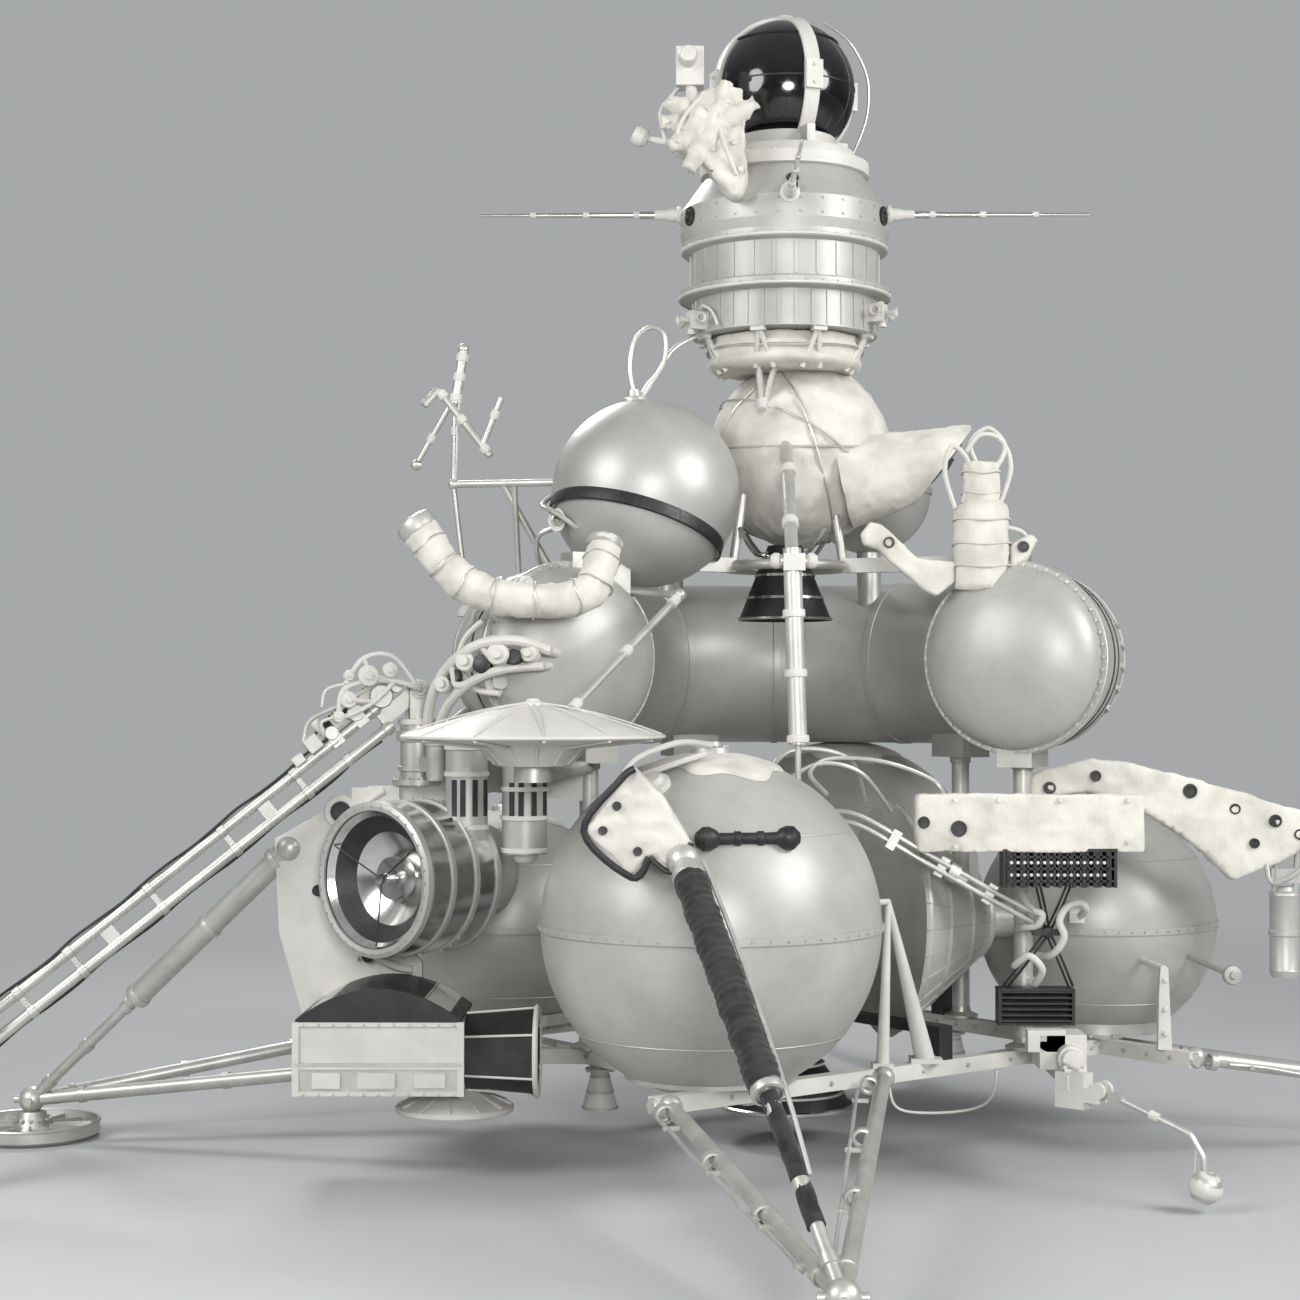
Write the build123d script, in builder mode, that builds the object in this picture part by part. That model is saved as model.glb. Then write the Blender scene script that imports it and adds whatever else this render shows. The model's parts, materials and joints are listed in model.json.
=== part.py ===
from build123d import *
from math import atan2, cos, degrees, hypot, radians, sin, sqrt
import os

os.makedirs("parts", exist_ok=True)

# Lunar sample return lander. Millimetres, +Z up, the origin on the ground below the axis of the
# ascent stage. +X is to the right of a viewer who stands in front, at -Y.

running_gap = 0.3

# Stance
foot_circle = 2660
pad_radius = 235
pad_thickness = 26
pad_rim_height = 52
ankle_height = 130
ankle_radius = 46

# Base frame: four box beams round the axis, each turned from its leg's direction and running on past
# its corner on one side. Places along a beam are measured from the middle of the square.
frame_bottom = 320
frame_height = 50
frame_top = frame_bottom + frame_height
beam_width = 50
beam_distance = 770
beam_turn = 38
beam_tail = 1181
tie_place = 584
tie_length = 300
tie_height = 22
adapter_hole_radius = 9
bolt_pocket_radius = 16
outrigger_end = -1400
side_plane = -380

# Landing legs: places of the two strut roots along the beam
strut_roots = [-1150, -294]
strut_radius = 24
shock_body_radius = 40
shock_rod_radius = 19
shock_body_share = 0.58
root_lug_radius = 36
strut_gap = 6

# Descent tanks: name, x, y, z, radius
descent_tanks = [
    ("tank_front", -280, -960, 840, 530),
    ("tank_rear", 280, 960, 840, 530),
    ("tank_right", 1120, 130, 750, 420),
    ("tank_left", -1000, 330, 730, 400),
]
weld_band_height = 22
weld_band_proud = 6
skirt_radius = 270
skirt_wall = 12

# Instrument compartment, a pressurised tube bent into a horseshoe that opens towards the viewer
ring_radius = 870
ring_tube = 305
ring_height = 1680
ring_end_angle = 30
dome_depth = 150
flange_proud = 16
flange_thickness = 34

# Columns between the base frame and the compartment: x, y
columns = [(780, side_plane), (-680, side_plane), (-331, 718), (669, 395)]
column_radius = 32
saddle_length = 190
saddle_width = 120
saddle_height = 60

# Ascent stage
ascent_base_height = 2010
ascent_foot_angles = [-20, 210, 90]
ascent_foot_width = 90
hub_radius = 215
hub_tube = 18

# The large ascent tank's seam lies round a tilted axis, below its middle
ascent_tank_centre = Vector(-490, -195, 2254)
ascent_tank_radius = 325
ascent_tank_axis = Vector(0.26, 0.23, 0.94)
ascent_seam_drop = 127
ascent_seam_radius = 305
ascent_seam_width = 30
back_tank_circle = 700
back_tank_radius = 235
back_tank_height = 2330
back_tank_angles = [60, 125]
block_centre = Vector(60, 125, 2420)
block_radius = 330
block_spigot_bottom = 2085
neck_radius = 270
neck_bottom = 2720
bay_bottom = 2820
bay_radius = 326
bay_top = 3400
bay_shoulder_radius = 370
seat_radius = 300
seat_thickness = 30
capsule_radius = 250
capsule_height = 3700
strap_width = 26
strap_thickness = 10
strap_angle = -70
rod_height = 3262
rod_tip_radius = 1080
rod_radii = [13, 10, 8, 6]

# Sampling boom. It turns on a post beside the compartment and holds the drill at its outer end.
boom_post = Vector(-1258, -380, 1573)
boom_length = 1943
boom_drop_angle = 38.2
boom_tube_radius = 19
boom_tube_spacing = 76
boom_lug_radius = 48
boom_lug_width = 50
boom_pin_radius = 18
post_radius = 58
post_seat = 1250
yoke_base_height = 24
yoke_cheek = 14
drill_side_offset = 110
drill_radius = 62
drill_above = 300
drill_below = 215
bit_radius = 14
bit_tip_height = 30
bit_length = 560
drill_feed = 350


def polar(radius, angle, height=0.0):
    """Point at a distance from the axis, at an angle from +X."""
    return Vector(radius * cos(radians(angle)), radius * sin(radians(angle)), height)


def add_rod(start, end, radius, end_radius=None, mode=Mode.ADD):
    """Round rod from one point to another, tapered where an end radius is given."""
    line = Vector(end) - Vector(start)
    with Locations(Plane(origin=start, z_dir=line)):
        if end_radius is None:
            Cylinder(radius, line.length, align=(Align.CENTER, Align.CENTER, Align.MIN), mode=mode)
        else:
            Cone(radius, end_radius, line.length, align=(Align.CENTER, Align.CENTER, Align.MIN), mode=mode)


def add_ball(centre, radius, mode=Mode.ADD):
    with Locations(Vector(centre)):
        Sphere(radius, mode=mode)


# Descent tanks. Small pockets clear the adapter bolts that come up through the frame's corners.
adapter_corners = [polar(beam_distance * sqrt(2), beam_turn + 45 + 90 * turn) for turn in range(4)]
tanks = {}
for name, x, y, z, radius in descent_tanks:
    with BuildPart() as tank:
        with Locations((x, y, z)):
            Sphere(radius)
            Cylinder(radius + weld_band_proud, weld_band_height)
        with Locations(*adapter_corners):
            Cylinder(
                bolt_pocket_radius, frame_top + running_gap,
                align=(Align.CENTER, Align.CENTER, Align.MIN), mode=Mode.SUBTRACT,
            )
    tank.part.label = name
    export_step(tank.part, f"parts/{name}.step")
    tanks[name] = tank.part


def beam_point(along, outward=0.0, height=0.0):
    """Point on the beam of the leg along +X: its place along the beam, and how far outside its middle line."""
    middle = polar(beam_distance + outward, beam_turn, height)
    return middle + polar(along, beam_turn + 90)


# Base frame: the four beams, the adapter holes at its corners and the outrigger on the left
with BuildPart() as base_frame:
    for turn in range(4):
        with Locations(Location((0, 0, frame_bottom), (0, 0, beam_turn + 90 * turn))):
            with Locations((beam_distance, (beam_distance - beam_tail) / 2, 0)):
                Box(beam_width, beam_distance + beam_tail, frame_height, align=(Align.CENTER, Align.CENTER, Align.MIN))
    for turn in (0, 180):
        with Locations(Location((0, 0, frame_bottom), (0, 0, beam_turn + turn))):
            with Locations((beam_distance, tie_place, 0)):
                Box(beam_width, tie_length, tie_height, align=(Align.CENTER, Align.CENTER, Align.MAX))
    with Locations((outrigger_end, side_plane, frame_bottom)):
        Box(
            columns[1][0] - outrigger_end, beam_width, frame_height,
            align=(Align.MIN, Align.CENTER, Align.MIN),
        )
    for turn in range(4):
        with Locations(beam_point(beam_distance, 0, frame_bottom).rotate(Axis.Z, 90 * turn)):
            Cylinder(
                adapter_hole_radius, frame_height,
                align=(Align.CENTER, Align.CENTER, Align.MIN), mode=Mode.SUBTRACT,
            )
    for name in tanks:
        add(tanks[name], mode=Mode.SUBTRACT)
base_frame.part.label = "base_frame"
export_step(base_frame.part, "parts/base_frame.step")

# Skirts that carry the descent tanks on the frame
with BuildPart() as tank_skirts:
    for name, x, y, z, radius in descent_tanks:
        bottom_radius = skirt_radius if radius > 450 else skirt_radius - 20
        with BuildSketch(Plane.XY.offset(frame_top)):
            with Locations((x, y)):
                Circle(bottom_radius)
                Circle(bottom_radius - skirt_wall, mode=Mode.SUBTRACT)
        extrude(amount=z - radius * 0.8 - frame_top)
    for name in tanks:
        add(tanks[name], mode=Mode.SUBTRACT)
tank_skirts.part.label = "tank_skirts"
export_step(tank_skirts.part, "parts/tank_skirts.step")

# Instrument compartment and its two end domes
ring_arc = 180 + 2 * ring_end_angle
with BuildPart() as compartment:
    start = polar(ring_radius, -ring_end_angle, ring_height)
    with BuildSketch(Plane(origin=start, z_dir=polar(1, 90 - ring_end_angle))):
        Circle(ring_tube)
    revolve(axis=Axis.Z, revolution_arc=ring_arc)
compartment.part.label = "compartment"
export_step(compartment.part, "parts/compartment.step")

end_flange_radius = ring_tube + flange_proud
with BuildPart() as end_domes:
    for angle, turn in ((-ring_end_angle, -90), (180 + ring_end_angle, 90)):
        centre = polar(ring_radius, angle, ring_height)
        outward = polar(1, angle + turn)
        with BuildSketch(Plane(origin=centre, x_dir=outward, z_dir=outward.cross(Vector(0, 0, 1)))):
            with BuildLine():
                Polyline(
                    (flange_thickness + dome_depth, 0), (0, 0), (0, end_flange_radius),
                    (flange_thickness, end_flange_radius), (flange_thickness, ring_tube),
                )
                EllipticalCenterArc((flange_thickness, 0), dome_depth, ring_tube, start_angle=0, arc_size=90)
            make_face()
        revolve(axis=Axis(centre, outward))
end_domes.part.label = "end_domes"
export_step(end_domes.part, "parts/end_domes.step")

# Columns with saddles under the compartment
with BuildPart() as column_set:
    for x, y in columns:
        radius = hypot(x, y)
        underside = ring_height - sqrt(ring_tube**2 - (radius - ring_radius) ** 2)
        with Locations((x, y, frame_top)):
            Cylinder(column_radius, underside - frame_top, align=(Align.CENTER, Align.CENTER, Align.MIN))
        with Locations(Location((x, y, underside), (0, 0, degrees(atan2(y, x))))):
            Box(saddle_width, saddle_length, 2 * saddle_height)
    add(compartment.part, mode=Mode.SUBTRACT)
    add(end_domes.part, mode=Mode.SUBTRACT)
    for name in tanks:
        add(tanks[name], mode=Mode.SUBTRACT)
column_set.part.label = "columns"
export_step(column_set.part, "parts/columns.step")

# Landing legs: name, angle, shock root distance, sideways offset, height
legs = [
    ("front", -90, 1530, -370, 1080),
    ("rear", 90, 1530, -370, 1080),
    ("left", 180, 1690, -side_plane, 1040),
    ("right", 0, 1735, side_plane, 1090),
]
ankle = Vector(foot_circle, 0, ankle_height)
strut_height = frame_bottom + frame_height / 2
pad_profile = [
    (0, 0), (pad_radius - 22, 0), (pad_radius, 14), (pad_radius, pad_rim_height), (pad_radius - 8, pad_rim_height),
    (pad_radius - 30, pad_thickness), (70, pad_thickness), (ankle_radius, ankle_height - 40), (0, ankle_height - 40),
]
with BuildPart() as foot_pad:
    with BuildSketch(Plane.XZ):
        with BuildLine():
            Polyline(*[(foot_circle + x, z) for x, z in pad_profile], close=True)
        make_face()
    revolve(axis=Axis((foot_circle, 0, 0), (0, 0, 1)))
    add_ball(ankle, ankle_radius)
with BuildPart() as strut_pair:
    for place in strut_roots:
        root = beam_point(place, beam_width / 2 + root_lug_radius / 2, strut_height)
        add_rod(root, ankle, strut_radius)
        add_ball(root, root_lug_radius)
    with Locations(ankle):
        Box(4 * ankle_radius, 2 * strut_gap, 4 * ankle_radius, mode=Mode.SUBTRACT)
    add(foot_pad.part, mode=Mode.SUBTRACT)
    add(base_frame.part, mode=Mode.SUBTRACT)

shock_roots = {}
shocks = {}
for name, angle, root_distance, side, root_height in legs:
    root = Vector(root_distance, side, root_height)
    shock_roots[name] = root.rotate(Axis.Z, angle)
    with BuildPart() as shock:
        middle = root + (ankle - root) * shock_body_share
        add_rod(root, middle, shock_body_radius)
        add_rod(middle, ankle, shock_rod_radius)
        add_ball(root, shock_body_radius + 8)
        add(foot_pad.part, mode=Mode.SUBTRACT)
        add(strut_pair.part, mode=Mode.SUBTRACT)
    shocks[name] = shock.part.rotate(Axis.Z, angle)

with BuildPart() as foot_pads:
    for name, angle, *_ in legs:
        add(foot_pad.part, rotation=(0, 0, angle))
foot_pads.part.label = "foot_pads"
export_step(foot_pads.part, "parts/foot_pads.step")

with BuildPart() as leg_struts:
    for name, angle, *_ in legs:
        add(strut_pair.part, rotation=(0, 0, angle))
leg_struts.part.label = "leg_struts"
export_step(leg_struts.part, "parts/leg_struts.step")

with BuildPart() as shock_struts:
    for name in shocks:
        add(shocks[name])
shock_struts.part.label = "shock_struts"
export_step(shock_struts.part, "parts/shock_struts.step")

# Descent engine
engine_exit_height = 110
engine_exit_radius = 235
engine_throat_height = 340
engine_throat_radius = 70
engine_top = 620
engine_body_radius = 190
engine_beam_bottom = 450
with BuildPart() as engine:
    with BuildSketch(Plane.XZ):
        with BuildLine():
            Line((0, engine_exit_height + 60), (engine_exit_radius - 14, engine_exit_height))
            Line((engine_exit_radius - 14, engine_exit_height), (engine_exit_radius, engine_exit_height))
            Spline((engine_exit_radius, engine_exit_height), (150, 240), (engine_throat_radius, engine_throat_height))
            Line((engine_throat_radius, engine_throat_height), (engine_body_radius, engine_throat_height + 60))
            Line((engine_body_radius, engine_throat_height + 60), (engine_body_radius, engine_top))
            Line((engine_body_radius, engine_top), (0, engine_top))
            Line((0, engine_top), (0, engine_exit_height + 60))
        make_face()
    revolve(axis=Axis.Z)
    for turn in (0, 90):
        with Locations(Location((0, 0, engine_beam_bottom), (0, 0, beam_turn + turn))):
            Box(2 * beam_distance + beam_width, 60, 30, align=(Align.CENTER, Align.CENTER, Align.MIN))
    for turn in range(4):
        with Locations(Location((0, 0, frame_top), (0, 0, beam_turn + 90 * turn))):
            with Locations((beam_distance, 0, 0)):
                Box(beam_width, 60, engine_beam_bottom - frame_top, align=(Align.CENTER, Align.CENTER, Align.MIN))
engine.part.label = "descent_engine"
export_step(engine.part, "parts/descent_engine.step")

# Steering nozzles under the frame
nozzle_height = 142
nozzle_radius = 60
nozzle_throat_radius = 24
nozzle_place = -55
with BuildPart() as steering_nozzles:
    for turn in (0, 180):
        with Locations(beam_point(nozzle_place, 0, frame_bottom).rotate(Axis.Z, turn)):
            Cone(
                nozzle_radius, nozzle_throat_radius, nozzle_height,
                align=(Align.CENTER, Align.CENTER, Align.MAX),
            )
steering_nozzles.part.label = "steering_nozzles"
export_step(steering_nozzles.part, "parts/steering_nozzles.step")

# Radar drum with its mouth towards the left front
drum_mouth = Vector(-1370, -650, 955)
drum_angle = 52
drum_length = 340
drum_radius = 250
drum_rim = 26
drum_bowl_depth = 150
drum_axis = polar(1, drum_angle)
drum_plane = Plane(origin=drum_mouth, x_dir=(0, 0, 1), z_dir=drum_axis)
with BuildPart() as radar_drum:
    with BuildSketch(drum_plane):
        Circle(drum_radius)
    extrude(amount=drum_length)
    with BuildSketch(drum_plane):
        Circle(drum_radius - drum_rim)
    extrude(amount=drum_bowl_depth, mode=Mode.SUBTRACT)
    with BuildSketch(drum_plane.offset(drum_bowl_depth - 70)):
        Circle(70)
    extrude(amount=80)
radar_drum.part.label = "radar_drum"
export_step(radar_drum.part, "parts/radar_drum.step")

# Side brackets in the plane of the front columns
bracket_thickness = beam_width
bracket_left_outline = [
    (-690, 1290), (-1000, 1345), (-1230, post_seat), (-1420, post_seat), (-1735, 1075), (-1720, 760), (-1640, 480),
    (-1400, frame_top), (-1240, frame_top), (-1240, 660), (-1340, 760), (-1380, 900), (-1340, 1060),
    (-1200, 1190), (-1000, 1230), (-690, 1200),
]
bracket_right_outline = [
    (800, 1290), (990, 1346), (1110, 1335), (1765, 1150), (1790, 1070), (1700, 1030), (1480, 930), (1300, 1110),
    (1000, 1230), (800, 1200),
]
brackets = {}
for name, outline in (("bracket_left", bracket_left_outline), ("bracket_right", bracket_right_outline)):
    with BuildPart() as bracket:
        with BuildSketch(Plane.XZ.offset(-side_plane - bracket_thickness / 2)):
            with BuildLine():
                Polyline(*outline, close=True)
            make_face()
        extrude(amount=bracket_thickness)
        add(column_set.part, mode=Mode.SUBTRACT)
        add_rod(drum_mouth, drum_mouth + drum_axis * drum_length, drum_radius, mode=Mode.SUBTRACT)
        for side in shocks:
            add(shocks[side], mode=Mode.SUBTRACT)
    bracket.part.label = name
    export_step(bracket.part, f"parts/{name}.step")
    brackets[name] = bracket.part

# Shock root brackets on the front and rear tanks, and a link bar on the front one
tank_bracket_outline = [
    (-549, 1311), (-655, 1162), (-517, 1030), (-467, 1088), (-403, 1047), (-345, 1129), (-427, 1261), (-509, 1343),
]
with BuildPart() as tank_brackets:
    with BuildSketch(Plane.XZ.offset(1330)):
        with BuildLine():
            Polyline(*tank_bracket_outline, close=True)
        make_face()
    extrude(amount=180)
    add(tank_brackets.part.rotate(Axis.Z, 180))
    for name in ("front", "rear"):
        add(shocks[name], mode=Mode.SUBTRACT)
    add_rod((-300, -1424, 1135), (-60, -1366, 1135), 14)
    for end in ((-300, -1424, 1135), (-60, -1366, 1135)):
        add_ball(end, 32)
    for name in ("front", "rear"):
        add(tanks[f"tank_{name}"], mode=Mode.SUBTRACT)
tank_brackets.part.label = "tank_brackets"
export_step(tank_brackets.part, "parts/tank_brackets.step")

# Equipment panel on the right with its louvre
panel_front = -640
panel_back = -560
panel_left = 400
panel_right = 1130
panel_bottom = 1050
panel_top = 1226
with BuildPart() as panel:
    with Locations((panel_left, panel_front, panel_bottom)):
        Box(panel_right - panel_left, panel_back - panel_front, panel_top - panel_bottom, align=Align.MIN)
    with Locations((columns[0][0], panel_back, (panel_top + panel_bottom) / 2)):
        Box(70, side_plane - panel_back, 70, align=(Align.CENTER, Align.MIN, Align.CENTER))
    add(column_set.part, mode=Mode.SUBTRACT)
panel.part.label = "equipment_panel"
export_step(panel.part, "parts/equipment_panel.step")

fin_count = 9
fin_spacing = 40
fin_height = 120
first_fin = 700
with BuildPart() as louvre:
    for index in range(fin_count):
        with Locations((first_fin + index * fin_spacing, panel_front, panel_bottom)):
            Box(14, panel_back - panel_front, fin_height, align=(Align.CENTER, Align.MIN, Align.MAX))
    with Locations((first_fin + (fin_count - 1) * fin_spacing / 2, panel_back, panel_bottom)):
        Box(fin_count * fin_spacing, 12, fin_height, align=(Align.CENTER, Align.MAX, Align.MAX))
louvre.part.label = "louvre"
export_step(louvre.part, "parts/louvre.step")

# Conical housing between the front and right tanks
cone_start = Vector(330, -230, 790)
cone_end = Vector(680, -140, 780)
cone_collar_radius = 62
with BuildPart() as cone_housing:
    add_rod(cone_start, cone_end, 400, 110)
    add_rod(cone_end, (1000, 20, 760), cone_collar_radius)
    for name, x, y, z, radius in descent_tanks:
        if name == "tank_right":
            add_ball((x, y, z), radius + weld_band_proud + running_gap, mode=Mode.SUBTRACT)
    for other in (column_set.part, engine.part):
        add(other, mode=Mode.SUBTRACT)
cone_housing.part.label = "cone_housing"
export_step(cone_housing.part, "parts/cone_housing.step")

# Radar electronics box, its horn and the disc antenna below
with BuildPart() as radar_box:
    with BuildSketch(Plane.XZ.offset(-side_plane + bracket_thickness / 2)):
        with BuildLine():
            Polyline((-1600, 280), (-1600, 520))
            ThreePointArc((-1600, 520), (-1335, 620), (-1070, 520))
            Polyline((-1070, 520), (-1070, 280), (-1600, 280))
        make_face()
    extrude(amount=400)
radar_box.part.label = "radar_box"
export_step(radar_box.part, "parts/radar_box.step")

with BuildPart() as radar_horn:
    add_rod((-1070, -650, 400), (-850, -650, 400), 118)
    add_rod((-850, -650, 400), (-830, -650, 400), 140)
radar_horn.part.label = "radar_horn"
export_step(radar_horn.part, "parts/radar_horn.step")

with BuildPart() as disc_antenna:
    add_rod((-1110, -600, 280), (-1110, -600, 215), 60, 190)
    add_rod((-1110, -600, 215), (-1110, -600, 200), 190)
disc_antenna.part.label = "disc_antenna"
export_step(disc_antenna.part, "parts/disc_antenna.step")

# Dish antenna and its arm
dish_centre = Vector(-827, -1080, 1424)
dish_radius = 403
dish_height = 106
with BuildPart() as dish:
    with BuildSketch(Plane.XZ.offset(-dish_centre.Y)):
        with BuildLine():
            x = dish_centre.X
            z = dish_centre.Z
            ThreePointArc((x, z + dish_height), (x + dish_radius / 2, z + 66), (x + dish_radius, z + 8))
            Line((x + dish_radius, z + 8), (x + dish_radius, z))
            Line((x + dish_radius, z), (x + 170, z - 24))
            Line((x + 170, z - 24), (x + 110, z - 86))
            Line((x + 110, z - 86), (x, z - 86))
            Line((x, z - 86), (x, z + dish_height))
        make_face()
    revolve(axis=Axis(dish_centre, (0, 0, 1)))
dish.part.label = "dish"
export_step(dish.part, "parts/dish.step")

with BuildPart() as dish_arm:
    arm_height = dish_centre.Z - 86 - 25
    add_rod((columns[1][0], side_plane, arm_height), (dish_centre.X, dish_centre.Y, arm_height), 25)
    with Locations((dish_centre.X, dish_centre.Y, arm_height)):
        Cylinder(60, 50)
    for other in (column_set.part, brackets["bracket_left"], tanks["tank_front"], dish.part):
        add(other, mode=Mode.SUBTRACT)
dish_arm.part.label = "dish_arm"
export_step(dish_arm.part, "parts/dish_arm.step")

# Camera pots in front of the left bracket
cameras = [(-1080, -520, 1000, 70, 395), (-890, -490, 1030, 75, 315)]
with BuildPart() as camera_pots:
    for x, y, bottom, radius, height in cameras:
        with Locations((x, y, bottom)):
            Cylinder(radius, height, align=(Align.CENTER, Align.CENTER, Align.MIN))
        add_rod((x, y, 1245), (x, side_plane, 1245), 20)
    for other in (radar_drum.part, brackets["bracket_left"], column_set.part, dish_arm.part):
        add(other, mode=Mode.SUBTRACT)
camera_pots.part.label = "cameras"
export_step(camera_pots.part, "parts/cameras.step")

# Ascent tanks: the large one at the front left, two smaller ones hidden behind
seam_centre = ascent_tank_centre - ascent_tank_axis.normalized() * ascent_seam_drop
with BuildPart() as ascent_tank:
    add_ball(ascent_tank_centre, ascent_tank_radius)
    with Locations(Plane(origin=seam_centre, z_dir=ascent_tank_axis)):
        Cylinder(ascent_seam_radius, ascent_seam_width)
ascent_tank.part.label = "ascent_tank"
export_step(ascent_tank.part, "parts/ascent_tank.step")

with BuildPart() as ascent_tanks_rear:
    for angle in back_tank_angles:
        with Locations(polar(back_tank_circle, angle, back_tank_height)):
            Sphere(back_tank_radius)
            Cylinder(back_tank_radius + weld_band_proud, weld_band_height)
ascent_tanks_rear.part.label = "ascent_tanks_rear"
export_step(ascent_tanks_rear.part, "parts/ascent_tanks_rear.step")

# Wrapped engine block of the ascent stage with the neck under the instrument bay
with BuildPart() as ascent_block:
    add_ball(block_centre, block_radius)
    with Locations((0, 0, neck_bottom)):
        Cylinder(neck_radius, bay_bottom - neck_bottom, align=(Align.CENTER, Align.CENTER, Align.MIN))
    with Locations((0, 0, block_spigot_bottom)):
        Cylinder(56, 150, align=(Align.CENTER, Align.CENTER, Align.MIN))
ascent_block.part.label = "ascent_block"
export_step(ascent_block.part, "parts/ascent_block.step")

nozzle_exit = 1820
nozzle_top = block_spigot_bottom
with BuildPart() as ascent_nozzle:
    with Locations((0, 0, nozzle_exit)):
        Cone(165, 60, nozzle_top - nozzle_exit, align=(Align.CENTER, Align.CENTER, Align.MIN))
        Cone(155, 70, 200, align=(Align.CENTER, Align.CENTER, Align.MIN), mode=Mode.SUBTRACT)
ascent_nozzle.part.label = "ascent_nozzle"
export_step(ascent_nozzle.part, "parts/ascent_nozzle.step")

# Wrapped horn on the block's right side, cut off aslant
hood_mouth = Plane(origin=(560, -75, 2372), z_dir=(0.8, 0, -0.6))
with BuildPart() as side_horn:
    add_rod((200, -40, 2300), (660, -82, 2405), 165, 98)
    with BuildSketch(hood_mouth):
        Circle(400)
    extrude(amount=400, mode=Mode.SUBTRACT)
    with BuildSketch(hood_mouth.offset(-45)):
        Circle(72)
    extrude(amount=60, mode=Mode.SUBTRACT)
    add_ball(block_centre, block_radius, mode=Mode.SUBTRACT)
side_horn.part.label = "side_horn"
export_step(side_horn.part, "parts/side_horn.step")

# Gas bottle on the compartment's right end
with BuildPart() as gas_bottle:
    with Locations((635, -435, 1900)):
        Cylinder(94, 300, align=(Align.CENTER, Align.CENTER, Align.MIN))
    with Locations((645, -430, 2200)):
        Cylinder(60, 140, align=(Align.CENTER, Align.CENTER, Align.MIN))
    add(compartment.part, mode=Mode.SUBTRACT)
    add(end_domes.part, mode=Mode.SUBTRACT)
gas_bottle.part.label = "gas_bottle"
export_step(gas_bottle.part, "parts/gas_bottle.step")

# Ascent stage base: feet on the compartment, beams to a hub ring, and posts under the tanks and the block
with BuildPart() as ascent_base:
    with BuildSketch(Plane(origin=(hub_radius, 0, ascent_base_height), z_dir=(0, 1, 0))):
        Circle(hub_tube)
    revolve(axis=Axis.Z)
    for angle in ascent_foot_angles:
        with Locations(Location((0, 0, ascent_base_height), (0, 0, angle))):
            with Locations((hub_radius, 0, 0)):
                Box(ring_radius - hub_radius, 40, 50, align=(Align.MIN, Align.CENTER, Align.CENTER))
            with Locations((ring_radius - 110, 0, 25)):
                Box(220, ascent_foot_width, 140, align=(Align.CENTER, Align.CENTER, Align.MAX))
        add_rod(polar(hub_radius, angle, ascent_base_height), polar(hub_radius - 40, angle, 2260), 16)
    for angle in back_tank_angles:
        with Locations(polar(back_tank_circle, angle, ring_height)):
            Cylinder(45, back_tank_height - ring_height, align=(Align.CENTER, Align.CENTER, Align.MIN))
    add_ball(block_centre, block_radius, mode=Mode.SUBTRACT)
    for other in (compartment.part, end_domes.part, ascent_tank.part, ascent_tanks_rear.part, ascent_nozzle.part):
        add(other, mode=Mode.SUBTRACT)
ascent_base.part.label = "ascent_base"
export_step(ascent_base.part, "parts/ascent_base.step")

# Eared bracket across the compartment's right end
ear_outline = [
    (229, 2095), (262, 2135), (300, 2125), (350, 2080), (420, 2010), (560, 2000), (640, 1995), (700, 2010), (735, 2060),
    (800, 2090), (815, 2075), (760, 1990), (700, 1960), (560, 1930), (480, 1880), (440, 1900), (380, 1960), (330, 2000),
    (290, 2040), (240, 2055),
]
with BuildPart() as ear_bracket:
    with BuildSketch(Plane.XZ.offset(430)):
        with BuildLine():
            Polyline(*ear_outline, close=True)
        make_face()
        with Locations((323, 2065), (734, 2060)):
            Circle(14, mode=Mode.SUBTRACT)
    extrude(amount=40)
    for other in (end_domes.part, compartment.part, gas_bottle.part, ascent_base.part):
        add(other, mode=Mode.SUBTRACT)
ear_bracket.part.label = "ear_bracket"
export_step(ear_bracket.part, "parts/ear_bracket.step")

# Wrapped duct from the left end of the compartment out over the boom's foot
duct_radius = 58
duct_path = [
    (-620, -600, 2060), (-640, -660, 1950), (-660, -690, 1885), (-800, -735, 1860), (-950, -755, 1870),
    (-1060, -760, 1910), (-1130, -760, 1975), (-1185, -755, 2050), (-1230, -750, 2110),
]
with BuildPart() as vent_duct:
    for start, end in zip(duct_path, duct_path[1:]):
        add_rod(start, end, duct_radius)
    for point in duct_path:
        add_ball(point, duct_radius)
    add_rod((-650, -640, 1960), (-700, -470, 1960), 22)
    for other in (end_domes.part, compartment.part):
        add(other, mode=Mode.SUBTRACT)
vent_duct.part.label = "vent_duct"
export_step(vent_duct.part, "parts/vent_duct.step")

# Turnstile antenna on the left: start, end, radius
turnstile_rods = [
    ((-1180, 60, 2310), (-1175, 60, 2600), 9), ((-1175, 60, 2600), (-1145, 60, 2790), 18),
    ((-1235, 60, 2650), (-1046, 30, 2408), 14), ((-1075, 34, 2445), (-1007, 20, 2615), 12),
    ((-1195, 62, 2590), (-1318, 100, 2383), 10), ((-1235, 60, 2650), (-1285, 40, 2590), 15),
    ((-1185, 60, 2310), (-790, -120, 2300), 13), ((-1180, 60, 2310), (-1125, 60, 1840), 9),
    ((-1000, -24, 2306), (-800, 60, 1950), 12), ((-955, -45, 2305), (-945, 60, 1950), 10),
]
with BuildPart() as turnstile_antenna:
    for start, end, radius in turnstile_rods:
        add_rod(start, end, radius)
    for centre in ((-1145, 60, 2795), (-1318, 100, 2383), (-1180, 60, 2310)):
        add_ball(centre, 20)
    for other in (compartment.part, ascent_tank.part):
        add(other, mode=Mode.SUBTRACT)
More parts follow.
